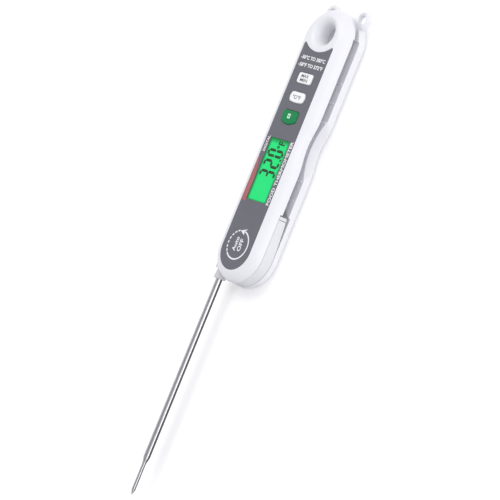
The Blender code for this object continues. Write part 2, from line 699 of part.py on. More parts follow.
def make_hub(materials, pivot):
    low, high = HUB_Z
    hub = prism("probe_hub", materials["white_plastic"], hub_outline(), (low, high))
    bevel = hub.modifiers.new("soft_edges", "BEVEL")
    bevel.width = HUB_EDGE * MM
    bevel.segments = 2
    bevel.limit_method = "ANGLE"
    bevel.angle_limit = math.radians(60)
    washer, bushing = WASHER_RADIUS + GAP, BUSHING_RADIUS + GAP
    bore = [(0, low - 1), (washer, low - 1), (washer, low + 0.9)]
    bore += [(bushing, low + 0.9), (bushing, high + 1), (0, high + 1)]
    seal_radii = (SEAL_RADII[0] - GAP, SEAL_RADII[1] + GAP)
    seal_z = (high - SEAL_DEPTH - GAP, high + 1)
    pocket_x = (HUB_MAGNET_X[0] - GAP, HUB_MAGNET_X[1] + GAP)
    pocket_y = (HUB_MAGNET_Y[0] - GAP, HUB_MAGNET_Y[1] + GAP)
    pocket_z = (HUB_MAGNET_Z[0] - GAP, high + 1)
    cut(
        hub,
        turned("hub_bore_cutter", None, bore, steps=32),
        tube("seal_groove_cutter", None, seal_radii, seal_z, steps=32),
        along_stem(pin("stem_bore_cutter", None, TUBE_RADIUS + GAP, (2.0, 14.0), steps=24)),
        prism("magnet_pocket_cutter", None, rectangle(pocket_x, pocket_y), pocket_z),
        arm_undercut(),
    )
    bushing_radii = (SLEEVE_RADIUS + GAP, BUSHING_RADIUS)
    washer_radii = (BUSHING_RADIUS + GAP, WASHER_RADIUS)
    magnet = rectangle(HUB_MAGNET_X, HUB_MAGNET_Y)
    pieces = [
        hub,
        tube("pivot_bushing", materials["brass"], bushing_radii, HUB_Z),
        tube("friction_washer", materials["steel"], washer_radii, WASHER_Z),
        tube("hub_seal", materials["dark_rubber"], SEAL_RADII, (high - SEAL_DEPTH, high)),
        prism("hub_magnet", materials["steel"], magnet, HUB_MAGNET_Z),
    ]
    for piece in pieces:
        piece.parent = pivot


def make_stem(materials, pivot):
    """Collar, tube and pointed tip, with the sensing bead and its leads inside."""
    collar_start, collar_end = (-y for y in COLLAR_Y)
    inner = TUBE_RADIUS + GAP
    profile = [(inner, collar_start), (COLLAR_NECK_RADIUS, collar_start)]
    profile += [(COLLAR_RADIUS, collar_end - COLLAR_EDGE), (COLLAR_RADIUS - COLLAR_EDGE, collar_end)]
    profile.append((inner, collar_end))
    collar = turned("probe_collar", materials["white_plastic"], profile, steps=28, ring=True)

    taper_start, taper_end = (-y for y in TAPER_Y)
    bore = TUBE_RADIUS - TUBE_WALL
    tip_bore = TIP_RADIUS - TIP_WALL
    profile = [(bore, -TUBE_START_Y), (TUBE_RADIUS, -TUBE_START_Y), (TUBE_RADIUS, taper_start)]
    profile += [(TIP_RADIUS, taper_end), (tip_bore, taper_end), (bore, taper_start)]
    stem_tube = turned("probe_tube", materials["steel"], profile, steps=24, ring=True)

    tip_start, tip_end = taper_end + GAP, -TIP_END_Y
    bore_end = tip_end - POINT_LENGTH - 2.0
    profile = [(0, bore_end), (tip_bore, bore_end), (tip_bore, tip_start), (TIP_RADIUS, tip_start)]
    profile += [(TIP_RADIUS, tip_end - POINT_LENGTH), (0, tip_end)]
    tip = turned("probe_tip", materials["steel"], profile, steps=20)

    bead_start, bead_end = (-y for y in BEAD_Y)
    middle, half = (bead_start + bead_end) / 2, (bead_end - bead_start) / 2
    turns = [math.radians(angle) for angle in (45, 90, 135)]
    profile = [(BEAD_RADIUS * math.sin(turn), middle - half * math.cos(turn)) for turn in turns]
    profile = [(0, bead_start), *profile, (0, bead_end)]
    bead = turned("sensor_bead", materials["chip_black"], profile, steps=12)
    leads_z = tuple(-y for y in LEADS_Y)
    leads = pin("sensor_leads", materials["wire_red"], LEADS_RADIUS, leads_z, steps=8)
    for piece in (collar, stem_tube, tip, bead, leads):
        along_stem(piece).parent = pivot


def main():
    clear_scene()
    materials = make_materials()
    pivot = bpy.data.objects.new("probe_fold_axis", None)
    bpy.context.scene.collection.objects.link(pivot)
    make_shells(materials)
    make_label(materials)
    make_display(materials)
    for key in KEYS:
        make_key(materials, *key)
    make_electronics(materials)
    make_cell(materials)
    make_battery_door(materials)
    make_fasteners(materials)
    make_hub(materials, pivot)
    make_stem(materials, pivot)


main()
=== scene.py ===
# %% [markdown]
# # A folding food thermometer, finished in Blender
#
# The thermometer is a white plastic handle with a green display, three keys and a thin steel
# stem that folds into a slot along its side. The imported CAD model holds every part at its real
# place. This lesson builds the finished surfaces around it: rounded shells, printed film, lit
# display, soft keys and drawn steel.

# %% Load the fixed frame
import math

import bmesh
import bpy
from mathutils import Matrix, Vector


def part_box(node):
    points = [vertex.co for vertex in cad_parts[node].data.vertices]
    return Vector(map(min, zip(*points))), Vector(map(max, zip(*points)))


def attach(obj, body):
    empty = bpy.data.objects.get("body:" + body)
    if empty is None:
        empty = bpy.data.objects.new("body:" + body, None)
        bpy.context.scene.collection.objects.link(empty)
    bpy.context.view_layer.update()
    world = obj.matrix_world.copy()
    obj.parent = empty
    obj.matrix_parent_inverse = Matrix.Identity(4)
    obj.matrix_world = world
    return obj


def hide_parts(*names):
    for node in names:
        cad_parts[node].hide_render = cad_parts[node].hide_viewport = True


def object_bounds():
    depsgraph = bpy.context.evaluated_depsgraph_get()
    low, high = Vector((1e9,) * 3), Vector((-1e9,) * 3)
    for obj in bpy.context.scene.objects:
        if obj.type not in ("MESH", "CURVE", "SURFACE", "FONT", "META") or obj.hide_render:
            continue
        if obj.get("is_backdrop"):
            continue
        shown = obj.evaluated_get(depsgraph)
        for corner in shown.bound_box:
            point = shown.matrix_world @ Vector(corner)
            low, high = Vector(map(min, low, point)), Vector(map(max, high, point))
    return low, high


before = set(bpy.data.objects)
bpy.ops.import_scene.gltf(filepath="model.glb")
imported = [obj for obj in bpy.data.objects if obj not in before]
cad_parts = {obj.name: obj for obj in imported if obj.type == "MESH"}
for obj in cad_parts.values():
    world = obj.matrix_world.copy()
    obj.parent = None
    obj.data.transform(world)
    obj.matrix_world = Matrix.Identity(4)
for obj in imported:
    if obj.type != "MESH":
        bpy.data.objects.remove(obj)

cad_low, cad_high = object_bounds()

# %% [markdown]
# ## Reading sizes from the frame
#
# Every size below is in millimetres, because that is how such a handle is drawn. The outer
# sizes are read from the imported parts, so the finished surfaces can't drift away from them.
# Only the roundings and the thin printed layers are chosen here.

# %% Sizes read from the parts
MM = 0.001


def box_mm(node):
    """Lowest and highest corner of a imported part, in millimetres."""
    low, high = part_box(node)
    return low / MM, high / MM


front_low, front_high = box_mm("front_shell")
rear_high = box_mm("rear_shell")[1]
hub_low, hub_high = box_mm("probe_hub")
label_low, label_high = box_mm("face_label")
window_low, window_high = box_mm("lcd_window")
tube_low, tube_high = box_mm("probe_tube")
tip_low, tip_high = box_mm("probe_tip")
collar_low, collar_high = box_mm("probe_collar")
door_low, door_high = box_mm("battery_door")

HALF_WIDTH = front_high.x
TOP_ARC_Y = front_high.y - HALF_WIDTH
THICKNESS = front_high.z
FRONT_FILLET = 6.7
REAR_FILLET = 4.0
HOLE_Y = 125.3
FORK_RADIUS = 30.5
FORK_GAP_BELOW = 0.7
FORK_GAP_ABOVE = 0.3
FORK_Z = (hub_low.z - FORK_GAP_BELOW, hub_high.z + FORK_GAP_ABOVE)
SLOT_FLOOR_X = 10.5
SLOT_Z = (6.8, 11.4)
SLOT_NECK_Y = 126.5
SLOT_NECK_X = 12.2
SLOT_NECK_Z = (7.7, 10.7)
NOTCH_Y = (47.0, 80.0)
NOTCH_DEPTH = 1.9
print(f"handle {2 * HALF_WIDTH:.1f} x {front_high.y - front_low.y:.1f} x {THICKNESS:.1f} mm")

# %% [markdown]
# ## Helpers for objects, nodes and plain materials
#
# Objects are linked to the scene and nodes are wired many times below. A few small functions
# keep that short: one puts data into the scene, one feeds a node, and one makes and feeds it.

# %% Objects, nodes and plain materials
def new_object(name, data):
    made = bpy.data.objects.new(name, data)
    bpy.context.scene.collection.objects.link(made)
    return made


def feed(tree, node, inputs):
    """Gives each named input a value, or links it to an output socket."""
    for name, value in inputs.items():
        if isinstance(value, bpy.types.NodeSocket):
            tree.links.new(value, node.inputs[name])
        else:
            node.inputs[name].default_value = value


def add_node(tree, kind, inputs=None, **settings):
    """A new node with its settings and its inputs."""
    node = tree.nodes.new(kind)
    for name, value in settings.items():
        setattr(node, name, value)
    feed(tree, node, inputs or {})
    return node


def new_material(name):
    """A material with its node tree and its shader."""
    material = bpy.data.materials.new(name)
    material.use_nodes = True
    return material, material.node_tree, material.node_tree.nodes["Principled BSDF"]


def plain_material(name, colour, glow=0.0):
    """A dull finish for the studio, which may give off white light."""
    material, tree, shader = new_material(name)
    feed(tree, shader, {
        "Base Color": (*colour, 1.0),
        "Roughness": 0.9,
        "Emission Color": (1.0, 1.0, 1.0, 1.0),
        "Emission Strength": glow,
    })
    return material


# %% [markdown]
# ## Camera
#
# The thermometer lies on its back and is seen from its slot side, a little from above, with a
# long lens that keeps its long sides parallel. The camera is rolled so that the handle stands
# at a slant in the picture. A long lens at two metres is chosen over a flat projection, because
# it still shows which end is nearer.

# %% Set up the camera
TO_CAMERA = Vector((0.77, -0.055, 0.637)).normalized()
ROLL = math.radians(22.17)
LENS = 270.0
PICTURE_WIDTH = 267.4
AIM_OFFSET = (6.74, -2.94)


def make_camera():
    along = (Vector((0, 1, 0)) - TO_CAMERA * TO_CAMERA.y).normalized()
    across = along.cross(TO_CAMERA)
    right = across * math.cos(ROLL) + along * math.sin(ROLL)
    up = along * math.cos(ROLL) - across * math.sin(ROLL)
    data = bpy.data.cameras.new("camera")
    data.lens = LENS
    data.sensor_width = 36.0
    distance = PICTURE_WIDTH * LENS / data.sensor_width
    ring_centre = Vector((0, 2.0, THICKNESS))
    aim = ring_centre + right * AIM_OFFSET[0] + up * AIM_OFFSET[1]
    camera = new_object("camera", data)
    turn = Matrix((right, up, TO_CAMERA)).transposed().to_4x4()
    camera.matrix_world = Matrix.Translation((aim + TO_CAMERA * distance) * MM) @ turn
    data.clip_end = 100.0
    bpy.context.scene.camera = camera
    print(f"camera {distance:.0f} mm away with a {LENS:.0f} mm lens")


make_camera()

# %% [markdown]
# ## Floor and light
#
# White plastic on a white ground only reads as round if the light falls off gently across it.
# A wide soft light above the keys is the main one, two weaker ones fill the slot side, and the
# sky is a pale even white. The floor gives off a faint light of its own, like a light table.
# Polished steel needs something darker to mirror: a grey card hangs above the stem, a pale one
# stands behind it, and a small dark one lies below it. They show in reflections only, as a
# photographer keeps such cards outside the picture.

# %% Floor, sky, lights and cards
FLOOR_GLOW = 0.15
FLOOR_DROP = 0.0002
UPRIGHT = math.radians(90)


def flat_card(name, size, place, turn, material):
    mesh = bpy.data.meshes.new(name)
    w, h = size[0] / 2, size[1] / 2
    mesh.from_pydata([(-w, -h, 0), (w, -h, 0), (w, h, 0), (-w, h, 0)], [], [(0, 1, 2, 3)])
    mesh.materials.append(material)
    card = new_object(name, mesh)
    card.location = place
    card.rotation_euler = turn
    card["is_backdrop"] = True
    return card


def reflection_only(card):
    for ray in ("camera", "diffuse", "shadow", "transmission", "volume_scatter"):
        setattr(card, f"visible_{ray}", False)


def area_light(name, size, power, place, target=(0, 0.02, 0.01)):
    data = bpy.data.lights.new(name, "AREA")
    data.shape = "RECTANGLE"
    data.size, data.size_y = size
    data.energy = power
    light = new_object(name, data)
    light.location = place
    light.rotation_euler = (Vector(place) - Vector(target)).to_track_quat("Z", "Y").to_euler()
    return light


def make_studio():
    floor_white = plain_material("floor_white", (0.93, 0.93, 0.93), FLOOR_GLOW)
    flat_card("floor", (6.0, 6.0), (0, 0, -FLOOR_DROP), (0, 0, 0), floor_white)
    dark = plain_material("card_dark", (0.13, 0.13, 0.135))
    grey = plain_material("card_grey", (0.32, 0.32, 0.325))
    pale = plain_material("card_pale", (0.72, 0.72, 0.73))
    cards = [
        flat_card("card_above", (0.75, 0.9), (0.005, -0.1, 0.6), (0, 0, 0), grey),
        flat_card("card_behind", (0.5, 0.9), (-0.5, -0.1, 0.25), (0, UPRIGHT, 0), pale),
        flat_card("card_low", (0.08, 0.14), (0.01, -0.085, 0.0006), (0, 0, 0), dark),
    ]
    for card in cards:
        reflection_only(card)
    area_light("key_light_panel", (0.9, 0.7), 4.0, (-0.15, 0.5, 0.95))
    area_light("fill_light_panel", (0.7, 0.9), 1.8, (0.9, 0.35, 0.55))
    area_light("low_light_panel", (0.9, 0.3), 1.6, (1.0, -0.1, 0.16))
    world = bpy.data.worlds.new("sky")
    world.use_nodes = True
    background = world.node_tree.nodes["Background"]
    feed(world.node_tree, background, {"Color": (0.97, 0.97, 1.0, 1.0), "Strength": 0.76})
    bpy.context.scene.world = world
    bpy.context.scene.view_settings.view_transform = "Standard"


make_studio()

# %% [markdown]
# ## Shared surface effects
#
# Several materials need the same two effects, so each is a node group that is built once.
# *Fine grain* is the faint texture that a moulding tool or a printing screen leaves: it moves
# the surface up and down and varies its gloss. *Handling* is the soft dulling that fingers
# leave in wide, uneven patches. Both read the part's own coordinates, so the pattern stays put
# when the stem swings.

# %% Node groups for grain and handling
def new_group(name, inputs, outputs):
    """A shader node group with float inputs (name, default) and outputs (name, socket type)."""
    group = bpy.data.node_groups.new(name, "ShaderNodeTree")
    for socket_name, default in inputs:
        socket = group.interface.new_socket(socket_name, in_out="INPUT", socket_type="NodeSocketFloat")
        socket.default_value = default
    for socket_name, kind in outputs:
        group.interface.new_socket(socket_name, in_out="OUTPUT", socket_type=kind)
    return group, group.nodes.new("NodeGroupInput"), group.nodes.new("NodeGroupOutput")


def math_node(tree, operation, first, second):
    """The result of a Math node on two numbers or output sockets."""
    return add_node(tree, "ShaderNodeMath", {0: first, 1: second}, operation=operation).outputs[0]


def make_grain_group():
    outputs = [("Height", "NodeSocketFloat"), ("Roughness", "NodeSocketFloat")]
    inputs = [("Scale", 3000.0), ("Stretch", 1.0), ("Base Roughness", 0.4), ("Variation", 0.1)]
    group, given, result = new_group("fine_grain", inputs, outputs)
    place = add_node(group, "ShaderNodeTexCoord")
    stretch = add_node(group, "ShaderNodeCombineXYZ",
                       {"X": 1.0, "Y": given.outputs["Stretch"], "Z": 1.0})
    mapping = add_node(group, "ShaderNodeMapping",
                       {"Vector": place.outputs["Object"], "Scale": stretch.outputs["Vector"]})
    noise = add_node(group, "ShaderNodeTexNoise", {
        "Vector": mapping.outputs["Vector"], "Scale": given.outputs["Scale"], "Detail": 3.0})
    centred = math_node(group, "SUBTRACT", noise.outputs["Fac"], 0.5)
    swing = math_node(group, "MULTIPLY", centred, given.outputs["Variation"])
    rough = math_node(group, "ADD", swing, given.outputs["Base Roughness"])
    feed(group, result, {"Height": noise.outputs["Fac"], "Roughness": rough})
    return group


def make_handling_group():
    inputs = [("Scale", 45.0), ("Roughness In", 0.4), ("Amount", 0.1)]
    outputs = [("Roughness", "NodeSocketFloat"), ("Mask", "NodeSocketFloat")]
    group, given, result = new_group("handling", inputs, outputs)
    place = add_node(group, "ShaderNodeTexCoord")
    noise = add_node(group, "ShaderNodeTexNoise", {
        "Vector": place.outputs["Object"], "Scale": given.outputs["Scale"], "Detail": 2.0})
    patches = add_node(group, "ShaderNodeMapRange",
                       {"Value": noise.outputs["Fac"], "From Min": 0.45, "From Max": 0.7})
    mask = patches.outputs["Result"]
    dulling = math_node(group, "MULTIPLY", mask, given.outputs["Amount"])
    rough = math_node(group, "ADD", given.outputs["Roughness In"], dulling)
    feed(group, result, {"Roughness": rough, "Mask": mask})
    return group


def ramp(tree, value, start, end):
    """0 before start and 1 after end, in millimetres along one axis."""
    limits = {"Value": value, "From Min": start * MM, "From Max": end * MM}
    return add_node(tree, "ShaderNodeMapRange", limits).outputs["Result"]


def product(tree, factors):
    total = factors[0]
    for factor in factors[1:]:
        total = math_node(tree, "MULTIPLY", total, factor)
    return total


def place_axes(tree):
    """The x, y and z of the part's own coordinates."""
    place = add_node(tree, "ShaderNodeTexCoord")
    return add_node(tree, "ShaderNodeSeparateXYZ", {"Vector": place.outputs["Object"]}).outputs


# A third group marks the deep slot, where a painted shade darkens the colour.
def make_slot_shade_group():
    """1 deep in the storage slot, where shade is painted into the colour, and 0 everywhere else."""
    group, _, result = new_group("slot_depth", [], [("Mask", "NodeSocketFloat")])
    x, y, z = place_axes(group)
    masks = [ramp(group, x, 10.0, 10.4), ramp(group, x, 15.6, 13.6), ramp(group, y, 20.0, 20.5),
             ramp(group, z, 6.4, 6.6), ramp(group, z, 11.8, 11.6)]
    feed(group, result, {"Mask": product(group, masks)})
    return group


GRAIN = make_grain_group()
HANDLING = make_handling_group()
SLOT_PAINTED_SHADE = make_slot_shade_group()
print("shared effects:", GRAIN.name, "+", HANDLING.name, "+", SLOT_PAINTED_SHADE.name)

# %% [markdown]
# ## One recipe for every finish
#
# Plastic, film, rubber and steel differ in colour, gloss and grain size, but they are wired in
# the same way. So one function takes those values: two colours that drift into each other in
# wide soft patches, the grain group for relief, and the handling group for gloss.

# %% The finish function
def finish_material(name, colour, second=None, roughness=0.4, metallic=0.0, grain=3000.0, stretch=1.0,
                    depth=0.00002, variation=0.12, handling=0.06, drift_scale=30.0, specular=0.5):
    """A moulded, printed or drawn surface. grain is a scale, stretched along Y; depth is in metres."""
    material, tree, shader = new_material(name)
    fine = add_node(tree, "ShaderNodeGroup", {
        "Scale": grain, "Stretch": stretch, "Base Roughness": roughness, "Variation": variation,
    }, node_tree=GRAIN)
    worn = add_node(tree, "ShaderNodeGroup", {
        "Amount": handling, "Roughness In": fine.outputs["Roughness"]}, node_tree=HANDLING)
    bump = add_node(tree, "ShaderNodeBump", {
        "Distance": depth, "Strength": 0.6, "Height": fine.outputs["Height"]})
    place = add_node(tree, "ShaderNodeTexCoord")
    drift = add_node(tree, "ShaderNodeTexNoise", {
        "Scale": drift_scale, "Vector": place.outputs["Object"]})
    colours = add_node(tree, "ShaderNodeMix", data_type="RGBA")
    feed(tree, colours, {
        "A": (*colour, 1.0),
        "B": (*(second or [value * 0.95 for value in colour]), 1.0),
        "Factor": drift.outputs["Fac"],
    })
    feed(tree, shader, {
        "Base Color": colours.outputs["Result"],
        "Roughness": worn.outputs["Roughness"],
        "Metallic": metallic,
        "Specular IOR Level": specular,
        "Normal": bump.outputs["Normal"],
    })
    return material


def paint_slot_shade(material, shade):
    """Mixes a painted shade into the colour deep in the storage slot."""
    tree = material.node_tree
    shader = tree.nodes["Principled BSDF"]
    depth = add_node(tree, "ShaderNodeGroup", node_tree=SLOT_PAINTED_SHADE)
    mix = add_node(tree, "ShaderNodeMix", data_type="RGBA")
    feed(tree, mix, {
        "A": shader.inputs["Base Color"].links[0].from_socket,
        "B": (*shade, 1.0),
        "Factor": depth.outputs["Mask"],
    })
    feed(tree, shader, {"Base Color": mix.outputs["Result"]})


WHITE = finish_material("white_plastic", (0.775, 0.775, 0.805), (0.75, 0.75, 0.785), roughness=0.34,
                        grain=2600.0, depth=0.000012, variation=0.08)
# Painted shade: the white plastic turns darker deep in the storage slot.
paint_slot_shade(WHITE, (0.66, 0.66, 0.70))
# Painted shade: the hub and its magnet cap get a darker copy of the white plastic, for the shade between
# the shells.
HUB_WHITE_PAINTED_SHADE = finish_material("hub_plastic", (0.70, 0.70, 0.735), (0.67, 0.67, 0.71), roughness=0.38,
                            grain=2600.0, depth=0.000015)
# Painted shade: the collar is white plastic, coloured a darker grey as shade.
COLLAR_PAINTED_SHADE = finish_material("collar_plastic", (0.60, 0.60, 0.615), (0.57, 0.57, 0.585), roughness=0.38,
                              grain=2600.0, depth=0.000015)
FILM = finish_material("label_film", (0.133, 0.133, 0.158), (0.120, 0.120, 0.143), roughness=0.5,
                       grain=5200.0, depth=0.00002, variation=0.2, drift_scale=60.0)
INK_WHITE = finish_material("white_ink", (0.86, 0.86, 0.88), roughness=0.55, grain=6000.0)
INK_RED = finish_material("red_ink", (0.42, 0.12, 0.12), (0.36, 0.11, 0.115), roughness=0.5,
                          grain=6000.0, drift_scale=220.0)
# Painted light: the ribs get a lighter copy of the white plastic and no slot shade, so they read as lit
# bars.
RIB_WHITE_PAINTED_LIGHT = finish_material("rib_plastic", (0.80, 0.80, 0.83), (0.76, 0.76, 0.79), roughness=0.4,
                            grain=2600.0, depth=0.000012)
INK_GREY = finish_material("grey_ink", (0.12, 0.12, 0.125), roughness=0.55, grain=6000.0)
KEY_WHITE = finish_material("white_key_rubber", (0.88, 0.88, 0.89), roughness=0.48,
                            grain=3600.0, depth=0.00002)
KEY_GREEN = finish_material("green_key_rubber", (0.004, 0.23, 0.072), (0.003, 0.20, 0.06),
                            specular=0.25, roughness=0.42, grain=3600.0, depth=0.00002)
INK_MINT = finish_material("mint_ink", (0.62, 0.86, 0.68), roughness=0.5, grain=6000.0)
STEEL = finish_material("drawn_steel", (0.70, 0.70, 0.71), (0.60, 0.60, 0.615), roughness=0.16,
                        metallic=1.0, grain=5000.0, stretch=0.02, depth=0.0000022, variation=0.07,
                        handling=0.05)
SCREW_STEEL = finish_material("screw_steel", (0.52, 0.52, 0.53), roughness=0.3, metallic=1.0,
                              grain=4000.0, depth=0.00001)
RUBBER = finish_material("black_rubber", (0.018, 0.018, 0.019), roughness=0.75, grain=2500.0)
BOARD = finish_material("board_green", (0.012, 0.11, 0.04), roughness=0.4, grain=1800.0)
EPOXY = finish_material("chip_epoxy", (0.015, 0.015, 0.017), roughness=0.5, grain=4000.0)
BRASS = finish_material("contact_brass", (0.62, 0.44, 0.17), roughness=0.25, metallic=1.0,
                        grain=4000.0, stretch=0.1)
WIRE_RED = finish_material("wire_red", (0.50, 0.03, 0.02), roughness=0.45, grain=3000.0)
LIGHT_GUIDE = finish_material("light_guide", (0.62, 0.90, 0.70), roughness=0.2, grain=1500.0)
print("finishes:", len([m for m in bpy.data.materials if m.use_nodes]))

# %% [markdown]
# ## Tools for turned and lofted pieces
#
# The handle is a stack of similar outlines, and the stem is a turned shape. Both are rings of
# points joined by bands of faces, so one builder serves for both. Cuts such as the slot and the
# hollow are Boolean modifiers, and the result is turned into a plain mesh at once.

# %% Outlines and the ring builder
def on_circle(centre, radius, degrees):
    angle = math.radians(degrees)
    return centre[0] + radius * math.cos(angle), centre[1] + radius * math.sin(angle)


def arc(centre, radius, start, end, steps):
    """Points along an arc, both ends included; angles in degrees."""
    turns = [start + (end - start) * step / steps for step in range(steps + 1)]
    return [on_circle(centre, radius, degrees) for degrees in turns]


def circle(radius, steps=64, centre=(0, 0)):
    return arc(centre, radius, 0, 360, steps)[:-1]


def rectangle(x_range, y_range):
    (x0, x1), (y0, y1) = x_range, y_range
    return [(x0, y0), (x1, y0), (x1, y1), (x0, y1)]


def object_from(bm, name, mesh=None):
    """Ends a bmesh: its faces become the mesh of an object."""
    mesh = mesh or bpy.data.meshes.new(name)
    bm.to_mesh(mesh)
    bm.free()
    return new_object(name, mesh)


def ring_solid(name, rings, close=False, place=(0, 0, 0)):
    """A closed mesh through rings of (outline, height); a ring of one point is a pole."""
    bm = bmesh.new()
    loops = []
    for outline, height in rings:
        points = [Vector((x, y, height)) + Vector(place) for x, y in outline]
        loops.append([bm.verts.new(point * MM) for point in points])
    count = max(len(loop) for loop in loops)
    for low, high in zip(loops, loops[1:] + (loops[:1] if close else [])):
        for here in range(count):
            after = (here + 1) % count
            if len(low) == 1:
                bm.faces.new((low[0], high[after], high[here]))
            elif len(high) == 1:
                bm.faces.new((low[here], low[after], high[0]))
            else:
                bm.faces.new((low[here], low[after], high[after], high[here]))
    if not close and len(loops[0]) > 1:
        bm.faces.new(loops[0][::-1])
    if not close and len(loops[-1]) > 1:
        bm.faces.new(loops[-1])
    bmesh.ops.recalc_face_normals(bm, faces=bm.faces)
    return object_from(bm, name)


def prism(name, outline, heights, place=(0, 0, 0)):
    return ring_solid(name, [(outline, height) for height in heights], place=place)


def turned(name, profile, steps=64, close=False, place=(0, 0, 0)):
    """A shape turned about +Z from (radius, height) points."""
    rings = [(circle(r, steps) if r else [(0, 0)], z) for r, z in profile]
    return ring_solid(name, rings, close, place)


# %% Cutting, softening and handing over
def settle(obj):
    """Swaps an object's modifiers for the plain mesh that they make."""
    graph = bpy.context.evaluated_depsgraph_get()
    mesh = bpy.data.meshes.new_from_object(obj.evaluated_get(graph))
    old = obj.data
    obj.modifiers.clear()
    obj.data = mesh
    mesh.name = obj.name
    if old.users == 0:
        bpy.data.meshes.remove(old)
    return obj


def combine(obj, tools, operation="DIFFERENCE"):
    """Cuts the tools from obj, or joins them to it, and removes the tools."""
    for tool in tools:
        modifier = obj.modifiers.new(operation.lower(), "BOOLEAN")
        modifier.operation = operation
        modifier.solver = "EXACT"
        modifier.object = tool
    settle(obj)
    for tool in tools:
        bpy.data.objects.remove(tool)
    return obj


def soften(obj, width=0.25, segments=2, angle=40):
    """Rounds the sharp edges and lets large faces keep their own direction of shading."""
    if width:
        bevel = obj.modifiers.new("edge", "BEVEL")
        bevel.width = width * MM
        bevel.segments = segments
        bevel.limit_method = "ANGLE"
        bevel.angle_limit = math.radians(angle)
        bevel.use_clamp_overlap = False
        bevel.miter_outer = "MITER_ARC"
    settle(obj)
    obj.data.shade_smooth()
    obj.data.set_sharp_from_angle(angle=math.radians(angle))
    weighted = obj.modifiers.new("shading", "WEIGHTED_NORMAL")
    weighted.keep_sharp = True
    weighted.weight = 100
    return settle(obj)


def hand_over(obj, body, material, slot, *nodes):
    """Gives a finished piece its material and its body, and hides the parts that it stands for. The slot
    argument is not used.
    """
    obj.data.materials.clear()
    obj.data.materials.append(material)
    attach(obj, body)
    if nodes:
        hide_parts(*nodes)
    print(f"{obj.name}: {len(obj.data.polygons)} faces, rides on {body}")
    return obj


# %% [markdown]
# ## The two shells
#
# The handle is two moulded halves. Seen from the front it is a long shape with round ends and
# one shallow dip where a finger lifts the stem. Each half is a stack of that outline, drawn
# inwards where the edge rounds over. The meeting edges get a small rounding of their own,
# because a mould never leaves a knife edge and the seam only shows by it.

# %% The handle's outline and both stacks
SIDE_STEPS = 36
ARC_STEPS = 56
SEAM_ROUNDING = 0.3


def notch(y):
    """How far the slot side is drawn in at this height."""
    share = (y - NOTCH_Y[0]) / (NOTCH_Y[1] - NOTCH_Y[0])
    return NOTCH_DEPTH * math.sin(math.pi * share) ** 2 if 0.0 < share < 1.0 else 0.0


def handle_outline(inset, dip=1.0):
    """The outline drawn inwards by an inset; dip scales the finger dip on the slot side."""
    radius = HALF_WIDTH - inset
    outline = arc((0, 0), radius, 180, 360, ARC_STEPS)
    for step in range(SIDE_STEPS + 1):
        y = NOTCH_Y[0] + (NOTCH_Y[1] - NOTCH_Y[0]) * step / SIDE_STEPS
        outline.append((radius - dip * notch(y), y))
    return outline + arc((0, TOP_ARC_Y), radius, 0, 180, ARC_STEPS)


def rounded(radius, steps):
    """(inset, height) along a quarter-round edge, from the flat face to the side."""
    turns = [math.radians(90 * step / steps) for step in range(steps + 1)]
    return [(radius * (1 - math.sin(turn)), radius * (1 - math.cos(turn))) for turn in turns]


def front_stack():
    seam = [(inset, front_low.z + height) for inset, height in rounded(SEAM_ROUNDING, 3)]
    edge = [(inset, THICKNESS - height) for inset, height in rounded(FRONT_FILLET, 16)][::-1]
    return [(handle_outline(inset, 1.0 - inset / FRONT_FILLET), z) for inset, z in seam + edge]


def rear_stack():
    edge = rounded(REAR_FILLET, 10)
    seam = [(inset, rear_high.z - height) for inset, height in rounded(SEAM_ROUNDING, 3)][::-1]
    return [(handle_outline(inset), z) for inset, z in edge + seam]


# %% [markdown]
# The hanging hole is straight in the middle and opens like a horn at both faces, so that a peg
# finds its way in and the rim blends into the face without an edge. A quarter of an ellipse
# gives that curve. The slot narrows where only the thin end of the stem lies in it. The gap for
# the hub and the hollow for the electronics are plain cuts at the frame's sizes.

# %% Cutters that both shells share
HOLE_THROAT = 5.0
HOLE_FLARE = 5.2
HOLE_FLARE_DEPTH = 8.0
SLOT_START_Y = 20.0
SLOT_END_Y = 150.0
DEEP_HOLLOW = ((-15.0, 9.2), (36.5, 108.5))
DEEP_HOLLOW_Z = (2.2, 12.6)
SHALLOW_HOLLOW = ((-13.0, 13.0), (24.5, 108.5))
SHALLOW_HOLLOW_Z = (13.5, 15.8)
JOINING_HOLLOW_Z = (12.0, 14.0)


def hanging_hole():
    turns = [math.radians(90 * step / 28) for step in range(29)]
    depth = HOLE_FLARE_DEPTH + 0.02
    flare = [(HOLE_THROAT + HOLE_FLARE * (1 - math.cos(turn)), depth * math.sin(turn)) for turn in turns]
    top = [(radius, THICKNESS - HOLE_FLARE_DEPTH + rise) for radius, rise in flare]
    bottom = [(radius, HOLE_FLARE_DEPTH - rise) for radius, rise in flare[::-1]]
    outer = HOLE_THROAT + HOLE_FLARE
    profile = [(0, -1.0), (outer, -1.0), *bottom, *top, (outer, THICKNESS + 1), (0, THICKNESS + 1)]
    return turned("hanging_hole", profile, 112, place=(0, HOLE_Y, 0))


def slot_cuts():
    outer = 2 * HALF_WIDTH
    wide = prism("slot_cut", rectangle((SLOT_FLOOR_X, outer), (SLOT_START_Y, SLOT_NECK_Y)), SLOT_Z)
    narrow = rectangle((SLOT_NECK_X, outer), (SLOT_NECK_Y - 1, SLOT_END_Y))
    neck = prism("slot_neck", narrow, SLOT_NECK_Z)
    return [wide, neck]


def hollow_cuts():
    deep, shallow = rectangle(*DEEP_HOLLOW), rectangle(*SHALLOW_HOLLOW)
    return [
        prism("deep_hollow", deep, DEEP_HOLLOW_Z),
        prism("shallow_hollow", shallow, SHALLOW_HOLLOW_Z),
        prism("joining_hollow", deep, JOINING_HOLLOW_Z),
    ]


def shared_cuts():
    fork = prism("fork_gap", circle(FORK_RADIUS, 144), FORK_Z)
    return [hanging_hole(), fork, *slot_cuts(), *hollow_cuts()]


